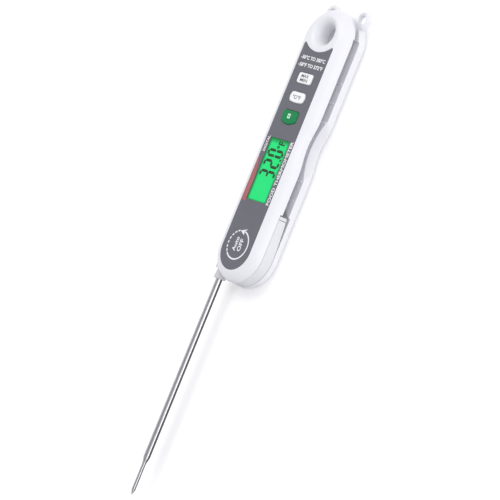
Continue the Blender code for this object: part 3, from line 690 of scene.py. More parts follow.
# %% Outlines of the label and the keys
LABEL_HALF_WIDTH = label_high.x
LABEL_TOP_Y = label_high.y
LABEL_DIP_Y = 113.7
LABEL_DIP_RADIUS = 16.5
TIP_ROUNDING = 1.0
WINDOW_GAP = 0.15
WINDOW_X = (window_low.x - WINDOW_GAP, window_high.x + WINDOW_GAP)
WINDOW_Y = (window_low.y - WINDOW_GAP, window_high.y + WINDOW_GAP)
FLANGE = 0.8
KEYS = {
    "key_max_min": {"body": "max_min_key", "bow": 0.0, "barrel": 0.0, "corner": 1.3},
    "key_unit": {"body": "unit_key", "bow": 0.3, "barrel": 0.3, "corner": 1.9},
    "key_light": {"body": "light_key", "bow": 1.3, "barrel": 0.0, "corner": 1.3},
}


def label_outline(grow=0.0):
    """A half round below, and above a hollow arc between two softly pointed tips."""
    w = LABEL_HALF_WIDTH + grow
    radius = LABEL_DIP_RADIUS - grow
    centre_y = LABEL_DIP_Y + LABEL_DIP_RADIUS
    reach = math.degrees(math.asin((w - 1.6) / radius))
    tip = TIP_ROUNDING
    outline = arc((0, 0), w, 180, 360, ARC_STEPS)
    outline += arc((w - tip, LABEL_TOP_Y + grow - tip), tip, 0, 100, 6)
    outline += arc((0, centre_y), radius, 270 + reach, 270 - reach, 32)
    return outline + arc((tip - w, LABEL_TOP_Y + grow - tip), tip, 80, 180, 6)


def key_outline(name, grow=0.0):
    """A key's outline in place: round corners, and edges that bow outwards by a little."""
    low, high = box_mm(name)
    facts = KEYS[name]
    w = high.x - FLANGE + grow
    bottom, top = low.y + FLANGE + facts["bow"] - grow, high.y - FLANGE + grow
    r = facts["corner"] + grow
    centres = [(w - r, bottom + r), (w - r, top - r), (r - w, top - r), (r - w, bottom + r)]
    bulges = [facts["barrel"], 0.0, facts["barrel"], facts["bow"]]
    outline = []
    for corner, (centre, bulge) in enumerate(zip(centres, bulges)):
        start = (270 + 90 * corner) % 360
        ahead = centres[(corner + 1) % 4]
        outline += arc(centre, r, start, start + 90, 6)
        out = on_circle((0, 0), 1.0, start + 90)
        last, first = outline[-1], on_circle(ahead, r, start + 90)
        for step in range(1, 8):
            share = step / 8
            push = bulge * math.sin(math.pi * share)
            outline.append(tuple(last[i] + (first[i] - last[i]) * share + out[i] * push for i in (0, 1)))
    return outline


# %% [markdown]
# The front shell carries a shallow bed for the label. The bed is a touch larger than the label,
# and its rim is flared, which gives the fine bright line that runs round a sunk label.

# %% Front shell
LABEL_BED = 0.12
BED_FLARE = 0.3
BED_FLOOR = label_low.z - 0.3
CUT_EDGE = 0.1
WINDOW_RIM = 0.6
WINDOW_FLOOR_Z = 15.3
SLEEVE_HOLE_RADIUS = 3.3
SLEEVE_HOLE_Z = (8.0, 15.2)
KEY_HOLE_GAP = 0.3
SCREW_HOLE_RADIUS = 1.5
SCREW_HOLE_Z = (5.0, 13.1)


def make_front_shell():
    shell = ring_solid("front_shell_moulding", front_stack())
    straight, flared = label_outline(LABEL_BED), label_outline(LABEL_BED + BED_FLARE)
    bed = ring_solid("label_bed", [
        (straight, BED_FLOOR), (straight, THICKNESS - 0.35),
        (flared, THICKNESS + 0.1), (flared, THICKNESS + 1.0),
    ])
    x_range = (WINDOW_X[0] - WINDOW_RIM, WINDOW_X[1] + WINDOW_RIM)
    y_range = (WINDOW_Y[0] - WINDOW_RIM, WINDOW_Y[1] + WINDOW_RIM)
    opening = prism("window_opening", rectangle(x_range, y_range), (WINDOW_FLOOR_Z, THICKNESS))
    sleeve = prism("sleeve_hole", circle(SLEEVE_HOLE_RADIUS, 40), SLEEVE_HOLE_Z)
    key_heights = (WINDOW_FLOOR_Z, THICKNESS + 1)
    holes = [prism("key_hole", key_outline(name, KEY_HOLE_GAP), key_heights) for name in KEYS]
    shank = circle(SCREW_HOLE_RADIUS, 24)
    screws = [prism("screw_hole", shank, SCREW_HOLE_Z, (*place, 0)) for place in SCREW_PLACES]
    combine(shell, [*shared_cuts(), bed, opening, sleeve, *holes, *screws])
    return hand_over(soften(shell, CUT_EDGE), "handle", WHITE, "white_plastic", "front_shell")


def centre_of(node):
    low, high = box_mm(node)
    return (low + high) / 2


SCREW_PLACES = [centre_of(f"shell_screw_{number}").xy for number in (1, 2, 3, 4)]
make_front_shell()

# %% [markdown]
# The rear shell has two small loops at its top corners, the round opening for the battery door,
# and the seats of the screws. A leaning cylinder scoops the slot's rear wall at the finger dip,
# so that a fingertip can get behind the stem.

# %% Rear shell
EAR_RADIUS = 5.0
EAR_HOLE = 2.5
EAR_X = 13.0
EAR_Z = (4.4, 7.6)
SCOOP_RADIUS = 40.0
SCOOP_LEAN = math.radians(33.0)
SCOOP_Z = 2.4
SCOOP_Y = 63.5
SEAT_DEPTH = 3.3
DOOR_CENTRE = centre_of("coin_cell").xy
DOOR_HOLE_RADIUS = 11.1
LUG_GAP_RADIUS = 12.1
LUG_GAP_ANGLE = 13.5


def ear(sign):
    """A loop with a well rounded rim, turned from one closed profile."""
    low, high = EAR_Z
    middle, half = (low + high) / 2, (high - low) / 2
    ring_middle = (EAR_RADIUS + EAR_HOLE) / 2
    ring_half = (EAR_RADIUS - EAR_HOLE) / 2
    profile = []
    for across, along in circle(1.0, 24):
        across = math.copysign(abs(across) ** 0.7, across)
        along = math.copysign(abs(along) ** 0.7, along)
        profile.append((ring_middle + ring_half * across, middle + half * along))
    centre_y = cad_high.y / MM - EAR_RADIUS
    return turned("ear", profile, 56, close=True, place=(sign * EAR_X, centre_y, 0))


def scoop():
    cutter = turned("scoop", [(0, -30), (SCOOP_RADIUS, -30), (SCOOP_RADIUS, 30), (0, 30)], 256)
    surface = Vector((HALF_WIDTH - NOTCH_DEPTH, SCOOP_Y, SCOOP_Z))
    away = Vector((math.cos(SCOOP_LEAN), 0, math.sin(SCOOP_LEAN)))
    turn = Matrix.Rotation(-SCOOP_LEAN, 4, "Y")
    cutter.data.transform(Matrix.Translation((surface + away * SCOOP_RADIUS) * MM) @ turn)
    return cutter


def door_opening():
    """A round hole with three gaps for the lugs of the door."""
    gap = LUG_GAP_ANGLE
    outline = []
    for middle in (45.0, 165.0, 285.0):
        outline += arc((0, 0), LUG_GAP_RADIUS, middle - gap, middle + gap, 8)
        outline += arc((0, 0), DOOR_HOLE_RADIUS, middle + gap, middle + 120 - gap, 24)
    return prism("door_opening", outline, (-1.0, 3.2), (*DOOR_CENTRE, 0))


def screw_seat(head, shank, top, steps, place=(0, 0, 0)):
    """A stepped hole, wide for the screw's head and narrow for its shank."""
    step = SEAT_DEPTH
    profile = [(0, -1), (head, -1), (head, step), (shank, step), (shank, top), (0, top)]
    return turned("screw_seat", profile, steps, place=place)


def make_rear_shell():
    shell = ring_solid("rear_shell_moulding", rear_stack())
    pivot = screw_seat(4.4, 3.3, 8.0, 48)
    seats = [screw_seat(2.9, 1.5, 12.0, 32, (*place, 0)) for place in SCREW_PLACES]
    combine(shell, [*shared_cuts(), scoop(), door_opening(), pivot, *seats])
    combine(shell, [ear(-1), ear(1)], "UNION")
    return hand_over(soften(shell, CUT_EDGE), "handle", WHITE, "white_plastic", "rear_shell")


make_rear_shell()

# %% [markdown]
# ## Ribs in the slot
#
# Low cross ribs keep the folded stem off the plastic. They stand at even distances, except in
# the finger dip. Geometry Nodes suit this: a line of points, a block on each, and a test of the
# place that leaves the dip free. Each rib is a foot on the slot's rear wall, and one standing
# block on its floor, so the tree runs twice.

# %% A tree that sets blocks along a line
def geometry_tree(name, inputs):
    """A Geometry Nodes tree with a Geometry output and the named inputs (name, type)."""
    tree = bpy.data.node_groups.new(name, "GeometryNodeTree")
    tree.interface.new_socket("Geometry", in_out="INPUT", socket_type="NodeSocketGeometry")
    tree.interface.new_socket("Geometry", in_out="OUTPUT", socket_type="NodeSocketGeometry")
    for socket_name, kind in inputs:
        tree.interface.new_socket(socket_name, in_out="INPUT", socket_type=f"NodeSocket{kind}")
    return tree, tree.nodes.new("NodeGroupInput"), tree.nodes.new("NodeGroupOutput")


def realised(tree, geometry, given, result):
    """Ends a tree: instances become real faces, and the faces get the material."""
    real = add_node(tree, "GeometryNodeRealizeInstances", {"Geometry": geometry})
    paint = add_node(tree, "GeometryNodeSetMaterial", {
        "Geometry": real.outputs["Geometry"], "Material": given.outputs["Material"]})
    feed(tree, result, {"Geometry": paint.outputs["Geometry"]})
    return tree


def grow_with(name, tree, values, mesh=None):
    """Runs a tree on an object, with inputs set by identifier, and keeps the plain mesh."""
    made = new_object(name, mesh or bpy.data.meshes.new(name))
    modifier = made.modifiers.new("grow", "NODES")
    modifier.node_group = tree
    for item in tree.interface.items_tree:
        if item.in_out == "INPUT" and item.name in values:
            modifier[item.identifier] = values[item.name]
    return settle(made)


def compared(tree, operation, value, limit):
    """True where the value is less, or greater, than the limit."""
    inputs = {"A": value, "B": limit}
    return add_node(tree, "FunctionNodeCompare", inputs, operation=operation).outputs["Result"]


def row_tree():
    tree, given, result = geometry_tree("blocks_in_a_row", [
        ("First", "Vector"), ("Spacing", "Float"), ("Count", "Int"), ("Size", "Vector"),
        ("Dip Start", "Float"), ("Dip End", "Float"), ("Material", "Material"),
    ])
    wanted = given.outputs
    step = add_node(tree, "ShaderNodeCombineXYZ", {"Y": wanted["Spacing"]})
    line = add_node(tree, "GeometryNodeMeshLine", {
        "Start Location": wanted["First"], "Offset": step.outputs["Vector"],
        "Count": wanted["Count"]})
    block = add_node(tree, "GeometryNodeMeshCube", {"Size": wanted["Size"]})
    where = add_node(tree, "GeometryNodeInputPosition")
    split = add_node(tree, "ShaderNodeSeparateXYZ", {"Vector": where.outputs["Position"]})
    before = compared(tree, "LESS_THAN", split.outputs["Y"], wanted["Dip Start"])
    after = compared(tree, "GREATER_THAN", split.outputs["Y"], wanted["Dip End"])
    either = add_node(tree, "FunctionNodeBooleanMath", {0: before, 1: after}, operation="OR")
    place = add_node(tree, "GeometryNodeInstanceOnPoints", {
        "Points": line.outputs["Mesh"], "Instance": block.outputs["Mesh"],
        "Selection": either.outputs["Boolean"]})
    return realised(tree, place.outputs["Instances"], given, result)


# %% Place the ribs
RIB_TREE = row_tree()
RIB_WIDTH = 0.9
RIB_START_Y = 34.4
RIB_SPACING = 11.3
RIB_ROOT = 0.2
RIB_COUNT = 7
DIP_MARGIN = 3.0


def make_ribs(name, x_range, z_range):
    size = (x_range[1] - x_range[0], RIB_WIDTH, z_range[1] - z_range[0])
    ribs = grow_with(name, RIB_TREE, {
        "First": [sum(x_range) / 2 * MM, RIB_START_Y * MM, sum(z_range) / 2 * MM],
        "Spacing": RIB_SPACING * MM,
        "Count": RIB_COUNT,
        "Size": [value * MM for value in size],
        "Dip Start": (NOTCH_Y[0] + DIP_MARGIN) * MM,
        "Dip End": (NOTCH_Y[1] - DIP_MARGIN) * MM,
        "Material": RIB_WHITE_PAINTED_LIGHT,
    })
    return hand_over(soften(ribs, 0.12), "handle", RIB_WHITE_PAINTED_LIGHT, "white_plastic")


make_ribs("slot_ribs", (SLOT_FLOOR_X - RIB_ROOT, 11.7), (SLOT_Z[0] - 0.1, SLOT_Z[1] + 0.1))
make_ribs("slot_rib_feet", (SLOT_FLOOR_X - RIB_ROOT, 16.9), (SLOT_Z[0] - 0.2, SLOT_Z[0] + 0.45))

# %% [markdown]
# ## The printed label
#
# The label is a thin grey film, stuck into the bed of the front shell, with openings for the
# display and the keys. Its printing is a few microns of ink. Here the ink is real geometry, a
# hair thicker than the real one, so that it stays sharp at any distance. Lettering starts as
# text, becomes a mesh, and is fitted to the space it has.

# %% Label film
def make_label():
    film = ring_solid("label_film", [
        (label_outline(-0.02), label_low.z - 0.2),
        (label_outline(-0.02), label_high.z - 0.06),
        (label_outline(-0.08), label_high.z),
    ])
    window = prism("film_window", rectangle(WINDOW_X, WINDOW_Y), (16.0, 19.0))
    holes = [prism(f"{name}_film_hole", key_outline(name, 0.22), (16.0, 19.0)) for name in KEYS]
    combine(film, [window, *holes])
    return hand_over(soften(film, 0), "handle", FILM, "label_grey", "face_label")


make_label()

# %% Lettering and other ink
INK_ROOT = 0.09
INK_HEIGHT = 0.035
PRINT_Z = label_high.z
ACROSS = 0.0
UPWARDS = math.radians(90)


def to_mesh_object(source, name):
    """A plain mesh object from a text object, which is removed."""
    graph = bpy.context.evaluated_depsgraph_get()
    mesh = bpy.data.meshes.new_from_object(source.evaluated_get(graph))
    bpy.data.objects.remove(source)
    bm = bmesh.new()
    bm.from_mesh(mesh)
    bmesh.ops.remove_doubles(bm, verts=bm.verts, dist=1e-5)
    bmesh.ops.triangulate(bm, faces=bm.faces)
    for face in bm.faces:
        face.smooth = False
    return object_from(bm, name, mesh)


def lettering(name, text, length, height, centre, turn=ACROSS, bold=0.02, z=PRINT_Z):
    """Raised ink letters that fill length x height millimetres about a centre."""
    curve = bpy.data.curves.new(name, "FONT")
    curve.body = text
    curve.extrude = 0.5
    curve.offset = bold
    curve.resolution_u = 4
    made = to_mesh_object(new_object(f"{name}_text", curve), name)
    bpy.data.curves.remove(curve)
    points = [vertex.co for vertex in made.data.vertices]
    low = Vector([min(point[axis] for point in points) for axis in range(3)])
    high = Vector([max(point[axis] for point in points) for axis in range(3)])
    middle, size = (low + high) / 2, high - low
    scale = Matrix.Diagonal((length / size.x, height / size.y, (INK_ROOT + INK_HEIGHT) / size.z, 1))
    place = Matrix.Translation((centre[0], centre[1], z + (INK_HEIGHT - INK_ROOT) / 2))
    turned_by = Matrix.Rotation(turn, 4, "Z")
    to_metres = Matrix.Diagonal((MM, MM, MM, 1))
    made.data.transform(to_metres @ place @ turned_by @ scale @ Matrix.Translation(-middle))
    return made


def ink(name, outline, z=PRINT_Z):
    """A flat printed patch with the given outline."""
    return prism(name, outline, (z - INK_ROOT, z + INK_HEIGHT))


def join_pieces(name, pieces):
    """One object out of many, with the meshes one after the other."""
    bm = bmesh.new()
    for piece in pieces:
        bm.from_mesh(piece.data)
        bpy.data.objects.remove(piece)
    return object_from(bm, name)


# %% [markdown]
# Above the keys stand the two measuring ranges, beside the display stands what the tool is,
# and around the pivot runs a broken circle with an arrow. It tells that folding the stem
# switches the thermometer off. The dashes of that circle are one dash on points along an arc,
# again with Geometry Nodes.

# %% The circle with the arrow
RING_CENTRE = (0.0, 2.0)
RING_RADIUS = 8.1
RING_STROKE = 0.8
DASHES = 7
DASH_LENGTH = 1.5
ARROW = ((0, 104), (-2.0, 74), (0, 80), (2.0, 70))


def dash_tree():
    tree, given, result = geometry_tree("dashes_on_an_arc", [
        ("Centre", "Vector"), ("Radius", "Float"), ("Start", "Float"), ("Sweep", "Float"),
        ("Count", "Int"), ("Size", "Vector"), ("Material", "Material"),
    ])
    wanted = given.outputs
    curve = add_node(tree, "GeometryNodeCurveArc", {
        "Resolution": 64, "Radius": wanted["Radius"], "Start Angle": wanted["Start"],
        "Sweep Angle": wanted["Sweep"]})
    points = add_node(tree, "GeometryNodeCurveToPoints", {
        "Curve": curve.outputs["Curve"], "Count": wanted["Count"]})
    align = add_node(tree, "FunctionNodeAlignRotationToVector",
                     {"Vector": points.outputs["Tangent"]}, axis="Y")
    dash = add_node(tree, "GeometryNodeMeshCube", {"Size": wanted["Size"]})
    place = add_node(tree, "GeometryNodeInstanceOnPoints", {
        "Points": points.outputs["Points"], "Instance": dash.outputs["Mesh"],
        "Rotation": align.outputs["Rotation"]})
    move = add_node(tree, "GeometryNodeTransform", {
        "Geometry": place.outputs["Instances"], "Translation": wanted["Centre"]})
    return realised(tree, move.outputs["Geometry"], given, result)


def make_ring():
    inner, outer = RING_RADIUS - RING_STROKE / 2, RING_RADIUS + RING_STROKE / 2
    sweep = arc(RING_CENTRE, outer, -138, 76, 60) + arc(RING_CENTRE, inner, 76, -138, 60)
    arrow = [on_circle(RING_CENTRE, RING_RADIUS + out, degrees) for out, degrees in ARROW]
    centre = (*RING_CENTRE, PRINT_Z + (INK_HEIGHT - INK_ROOT) / 2)
    dashes = grow_with("ring_dashes", dash_tree(), {
        "Centre": [value * MM for value in centre],
        "Radius": RING_RADIUS * MM,
        "Start": math.radians(112),
        "Sweep": math.radians(100),
        "Count": DASHES,
        "Size": [value * MM for value in (RING_STROKE, DASH_LENGTH, INK_ROOT + INK_HEIGHT)],
        "Material": INK_WHITE,
    })
    words = [
        lettering("auto", "Auto", 8.0, 2.7, (-1.9, 2.2), UPWARDS),
        lettering("off", "OFF", 7.0, 2.9, (2.1, 2.2), UPWARDS),
    ]
    return join_pieces("ring_print", [ink("sweep", sweep), ink("arrow", arrow), dashes, *words])


hand_over(make_ring(), "handle", INK_WHITE, "label_grey")

# %% Ranges, name of the tool and the warm stripe
def make_face_print():
    lines = [
        lettering("celsius", "-50°C TO 300°C", 20.4, 2.2, (0.0, 109.7), bold=0.03),
        lettering("fahrenheit", "-58°F TO 572°F", 20.4, 2.2, (0.0, 105.5), bold=0.03),
        lettering("tool_name", "FOOD THERMOMETER", 36.6, 2.3, (10.25, 45.2), UPWARDS, bold=0.02),
        lettering("tool_kind", "DIGITAL", 9.0, 1.9, (-9.8, 59.0), UPWARDS, bold=0.02),
    ]
    return join_pieces("face_print", lines)


hand_over(make_face_print(), "handle", INK_WHITE, "label_grey")
STRIPE = [(-11.9, 26.0), (-8.4, 26.0), (-8.4, 38.5), (-8.9, 42.5), (-9.7, 46.0), (-10.6, 49.2),
          (-11.6, 52.0), (-11.9, 52.0)]
hand_over(ink("red_stripe", STRIPE), "handle", INK_RED, "label_grey")

# %% [markdown]
# ## The lit display
#
# The display is a flat glass cell that a green lamp lights from behind. The material gives off
# that light itself, and a clear coat on top mirrors the room. Its glow is painted dimmer towards
# the rim, over a wider band on the low-x side and the high-y end: painted shade from the window's
# edge. The dark figures are seven strokes each, cut at a slant where two strokes meet.

# %% The glowing pane
def make_display_material():
    material = finish_material("lit_display", (0.003, 0.10, 0.025), roughness=0.22,
                               grain=1500.0, depth=0.000004, variation=0.05, specular=0.2)
    tree = material.node_tree
    x, y, _ = place_axes(tree)
    # Painted shade: the glow fades towards the window's rim, widest on the low-x side and the high-y
    # end.
    glow = product(tree, [
        ramp(tree, x, WINDOW_X[0] + 0.4, WINDOW_X[0] + 2.2),
        ramp(tree, x, WINDOW_X[1], WINDOW_X[1] - 1.4),
        ramp(tree, y, WINDOW_Y[1] - 0.5, WINDOW_Y[1] - 3.2),
        ramp(tree, y, WINDOW_Y[0], WINDOW_Y[0] + 0.9),
    ])
    colour = add_node(tree, "ShaderNodeMix", data_type="RGBA")
    feed(tree, colour, {
        "A": (0.002, 0.17, 0.035, 1.0), "B": (0.008, 0.90, 0.235, 1.0), "Factor": glow})
    feed(tree, tree.nodes["Principled BSDF"], {
        "Coat Weight": 0.1,
        "Coat Roughness": 0.06,
        "Emission Strength": 0.76,
        "Emission Color": colour.outputs["Result"],
    })
    return material


DISPLAY = make_display_material()
pane = prism("display_pane", rectangle((window_low.x, window_high.x), (window_low.y, window_high.y)),
             (window_low.z, window_high.z))
hand_over(soften(pane, 0.15), "handle", DISPLAY, "clear_plastic", "lcd_window")

# %% The figures
FIGURE_HEIGHT = 13.2
FIGURE_WIDTH = 4.7
FIGURE_STROKE = 1.6
FIGURE_MIDDLE_X = 0.2
STROKE_GAP = 0.1
POINT_X = (5.6, 6.8)
POINT_HALF = 0.55
FIGURES = {"3": 42.9, "2": 48.9, "0": 54.9}
STROKES = {"3": "abcdg", "2": "abdeg", "0": "abcdef"}
FIGURE_Z = window_high.z
SEGMENT_INK = finish_material("display_figures", (0.0015, 0.045, 0.008), roughness=0.25,
                              grain=1500.0)


def stroke(start, end):
    """A bar between two points with slanted ends, in figure coordinates (right, up)."""
    half = FIGURE_STROKE / 2
    start, end = Vector(start), Vector(end)
    ahead = (end - start).normalized()
    side = Vector((-ahead.y, ahead.x)) * half
    gap = ahead * STROKE_GAP
    tip = ahead * half
    return [start + gap, start + gap + tip - side, end - gap - tip - side, end - gap,
            end - gap - tip + side, start + gap + tip + side]


def figure_strokes(figure):
    w, h = FIGURE_WIDTH / 2 - FIGURE_STROKE / 2, FIGURE_HEIGHT / 2 - FIGURE_STROKE / 2
    ends = {
        "a": ((-w, h), (w, h)), "b": ((w, h), (w, 0)), "c": ((w, 0), (w, -h)), "d": ((w, -h), (-w, -h)),
        "e": ((-w, -h), (-w, 0)), "f": ((-w, 0), (-w, h)), "g": ((-w, 0), (w, 0)),
    }
    return [stroke(*ends[letter]) for letter in STROKES[figure]]


def make_figures():
    pieces = []
    for figure, middle_y in FIGURES.items():
        for outline in figure_strokes(figure):
            placed = [(FIGURE_MIDDLE_X - up, middle_y + right) for right, up in outline]
            pieces.append(ink("stroke", placed, FIGURE_Z))
    point_y = (FIGURES["2"] + FIGURES["0"]) / 2
    point = rectangle(POINT_X, (point_y - POINT_HALF, point_y + POINT_HALF))
    pieces.append(ink("point", point, FIGURE_Z))
    pieces.append(lettering("unit", "°F", 4.3, 5.6, (2.2, 59.9), UPWARDS, bold=0.03, z=FIGURE_Z))
    return join_pieces("display_digits", pieces)


hand_over(make_figures(), "handle", SEGMENT_INK, "display_green")

# %% [markdown]
# ## Keys
#
# The three keys are moulded in soft rubber: a wide foot that keeps them in the shell, a
# straight body, and a top that rounds over and rises a little to the middle. The upper key is
# a plain pad, the middle one bulges like a barrel, and the green one has a bowed lower edge.
# Each key presses straight in, so its legend rides on the same body.

# %% Key caps and legends
KEY_EDGE = 0.75
KEY_CROWN = 0.1
KEY_FOOT = 0.8
LEGEND_BOLD = 0.012


def make_cap(name, material, slot):
    low, high = box_mm(name)
    top = high.z - INK_HEIGHT
    foot = key_outline(name, FLANGE)
    rings = [(foot, low.z), (foot, low.z + KEY_FOOT), (key_outline(name), low.z + KEY_FOOT + 0.01)]
    for step in range(7):
        turn = math.radians(90 * step / 6)
        inset = KEY_EDGE * (1 - math.cos(turn))
        height = top - KEY_CROWN - KEY_EDGE * (1 - math.sin(turn))
        rings.append((key_outline(name, -inset), height))
    middle = Vector((0.0, (low.y + high.y) / 2))
    rim = [Vector(point) for point in key_outline(name, -KEY_EDGE)]
    for share in (0.7, 0.35):
        rise = KEY_CROWN * (1 - share ** 2)
        smaller = [middle + (point - middle) * share for point in rim]
        rings.append((smaller, top - KEY_CROWN + rise))
    rings.append(([middle], top))
    cap = soften(ring_solid(f"{name}_cap", rings), 0)
    return hand_over(cap, KEYS[name]["body"], material, slot, name)


make_cap("key_max_min", KEY_WHITE, "key_white")
make_cap("key_unit", KEY_WHITE, "key_white")
make_cap("key_light", KEY_GREEN, "key_green")


def legend_z(name):
    return box_mm(name)[1].z - INK_HEIGHT


def key_word(key, name, text, length, height, shift=0.0):
    """A word printed on a key, shifted along the handle from the key's middle."""
    centre = (0, centre_of(key).y + shift)
    return lettering(name, text, length, height, centre, bold=LEGEND_BOLD, z=legend_z(key))


max_min_words = [
    key_word("key_max_min", "max_word", "MAX", 6.0, 1.75, 1.15),
    key_word("key_max_min", "min_word", "MIN", 6.0, 1.75, -1.15),
]
hand_over(join_pieces("max_min_legend", max_min_words), "max_min_key", INK_GREY, "key_white")
unit_words = key_word("key_unit", "unit_legend", "°C/°F", 6.6, 2.2)
hand_over(unit_words, "unit_key", INK_GREY, "key_white")
LAMP_Y = centre_of("key_light").y + 0.6
lamp_z = legend_z("key_light")
lamp = ink("lamp_frame", rectangle((-1.1, 1.1), (LAMP_Y - 1.3, LAMP_Y + 1.3)), lamp_z)
combine(lamp, [prism("lamp_hole", rectangle((-0.45, 0.45), (LAMP_Y - 0.6, LAMP_Y + 0.6)), (17.0, 20.0))])
hand_over(lamp, "light_key", INK_MINT, "key_green")

# %% [markdown]
# ## The hub and the stem
#
# The hub is the disc that turns between the two shells, and its underside nearly meets the
# rear one. One long arm of it fills the gap on the slot side, and a boss holds the stem beside
# the axis. A tapered collar covers the joint.
# The stem is a drawn steel tube, swaged down near its end and ground to a point, all of it one
# turned shape about its own line.

# %% Hub
HUB_RADIUS = 17.7
ARM_END_Y = hub_high.y
ARM_INNER_X = 5.0
UNDERCUT_START_Y = 4.0
HUB_GAP_FILL = 0.65
UNDERCUT_LEAN = math.radians(5.0)
BOSS_X = (-17.3, -10.4)
BOSS_END_Y = -12.5
BORE_RADIUS = 4.6
WASHER_SEAT = (7.5, 0.9)
SEAL_GROOVE = ((9.0, 11.0), 1.45)
MAGNET_POCKET = ((8.9, 13.1), (19.4, 23.6))
STEM_HOLE_RADIUS = 2.15


def hub_outline(inset=0.0):
    radius = HUB_RADIUS - inset
    end, side = ARM_END_Y - inset, ARM_INNER_X + inset
    root = math.degrees(math.acos(side / radius))
    boss = (BOSS_X[0] + inset, BOSS_X[1] - inset)
    boss_low = 360 - math.degrees(math.acos(boss[1] / radius))
    outline = arc((radius - 0.5, end - 0.5), 0.5, 0, 90, 4) + [(side, end)]
    outline += arc((0, 0), radius, root, 180, 32)
    outline += [(-radius, -2.0), (boss[0], -4.5)]
    outline += [(boss[0], BOSS_END_Y + inset), (boss[1], BOSS_END_Y + inset)]
    return outline + arc((0, 0), radius, boss_low, 360, 40)


def make_hub():
    low, high = hub_low.z - HUB_GAP_FILL, hub_high.z
    lower = [(hub_outline(inset), low + height) for inset, height in rounded(0.25, 3)]
    upper = [(hub_outline(inset), high - height) for inset, height in rounded(0.4, 4)][::-1]
    hub = ring_solid("hub_moulding", lower + upper)
    seat, depth = WASHER_SEAT
    bore = turned("hub_bore", [(0, low - 1), (seat, low - 1), (seat, low + depth),
                               (BORE_RADIUS, low + depth), (BORE_RADIUS, high + 1), (0, high + 1)])
    radii, depth = SEAL_GROOVE
    groove = turned("seal_groove", rectangle(radii, (high - depth, high + 1)), close=True)
    pocket = prism("magnet_pocket", rectangle(*MAGNET_POCKET), (8.7, high + 1))
    hole = [(0, 2.0), (STEM_HOLE_RADIUS, 2.0), (STEM_HOLE_RADIUS, 14.0), (0, 14.0)]
    stem_hole = along_stem(turned("stem_hole", hole, 40))
    combine(hub, [bore, groove, pocket, stem_hole, arm_undercut(), tip_groove()])
    return hand_over(soften(hub, 0.05, 1), "stem", HUB_WHITE_PAINTED_SHADE, "white_plastic", "probe_hub")


def arm_undercut():
    """Thins the arm towards its end, so that a fingernail gets behind it."""
    wedge = prism("undercut", rectangle((ARM_INNER_X - 1, HALF_WIDTH + 2), (0, 30)), (-6, 0))
    place = Matrix.Translation(Vector((0, UNDERCUT_START_Y, hub_low.z - HUB_GAP_FILL)) * MM)
    wedge.data.transform(place @ Matrix.Rotation(UNDERCUT_LEAN, 4, "X"))
    return wedge


def tip_groove():
    """A fine line across the arm near its end, where the grip tab begins."""
    y = ARM_END_Y - 2.0
    groove = rectangle((HUB_RADIUS - 1.2, HALF_WIDTH + 2), (y - 0.2, y + 0.2))
    return prism("tip_groove", groove, (5.0, 14.0))


def along_stem(obj):
    """Turns a shape's own +Z down the stem's line, in its mesh."""
    line = Matrix.Translation((tube_low.x / 2 + tube_high.x / 2, 0, tube_low.z / 2 + tube_high.z / 2))
    line.translation *= MM
    obj.data.transform(line @ Matrix.Rotation(UPRIGHT, 4, "X"))
    return obj


def make_magnet_cap():
    """A glued cap over the magnet that tells the electronics when the stem is open."""
    low, high = box_mm("hub_magnet")
    rim = 0.22
    x_range, y_range = (low.x - rim, high.x + rim), (low.y - rim, high.y + rim)
    cap = prism("magnet_cap", rectangle(x_range, y_range), (high.z + 0.05, hub_high.z - 0.05))
    return hand_over(soften(cap, 0.08), "stem", HUB_WHITE_PAINTED_SHADE, "white_plastic")


make_hub()
make_magnet_cap()

# %% Collar, tube and point
TUBE_RADIUS = (tube_high.x - tube_low.x) / 2
TIP_RADIUS = (tip_high.x - tip_low.x) / 2
COLLAR_RADIUS = 3.4
COLLAR_NECK = 2.9
TAPER = (120.7, 125.7)
POINT_LENGTH = 3.2
SWAGE_STEPS = 10


def make_collar():
    start, end = -collar_high.y, -collar_low.y
    inner = TUBE_RADIUS + 0.12
    outer = COLLAR_RADIUS
    profile = [(inner, start), (COLLAR_NECK, start), (outer - 0.05, end - 0.7), (outer, end - 0.35),
               (outer - 0.1, end - 0.12), (outer - 0.35, end), (inner + 0.15, end), (inner, end - 0.15)]
    collar = along_stem(turned("stem_collar", profile, 56, close=True))
    return hand_over(soften(collar, 0), "stem", COLLAR_PAINTED_SHADE, "white_plastic", "probe_collar")


def make_stem():
    """Tube, swaged taper and ground point in one line of rings."""
    start, end = -tube_high.y, -tip_low.y
    wall = TUBE_RADIUS - 0.35
    profile = [(0, start + 2.0), (wall, start + 2.0), (wall, start), (TUBE_RADIUS, start)]
    profile += [(TUBE_RADIUS, start + (TAPER[0] - start) * step / 6) for step in range(1, 6)]
    for step in range(SWAGE_STEPS + 1):
        share = step / SWAGE_STEPS
        ease = share * share * (3 - 2 * share)
        radius = TUBE_RADIUS + (TIP_RADIUS - TUBE_RADIUS) * ease
        profile.append((radius, TAPER[0] + (TAPER[1] - TAPER[0]) * share))
    point_start = end - POINT_LENGTH
    for step in range(6):
        share = step / 6
        profile.append((TIP_RADIUS * (1 - share) ** 0.85, point_start + POINT_LENGTH * share))
    profile.append((0, end))
    stem = along_stem(turned("stem_tube", profile, 56))
    return hand_over(soften(stem, 0), "stem", STEEL, "steel", "probe_tube", "probe_tip")


make_collar()
make_stem()

# %% [markdown]
# ## Screws and the cell door
#
# Four screws hold the shells together, and a larger one holds the pivot. All have a pan head
# with a cross recess. They are one turned and cut shape, set on points that are read from the
# packed screws. The cell door on the back is a round cover with a slot for a coin.

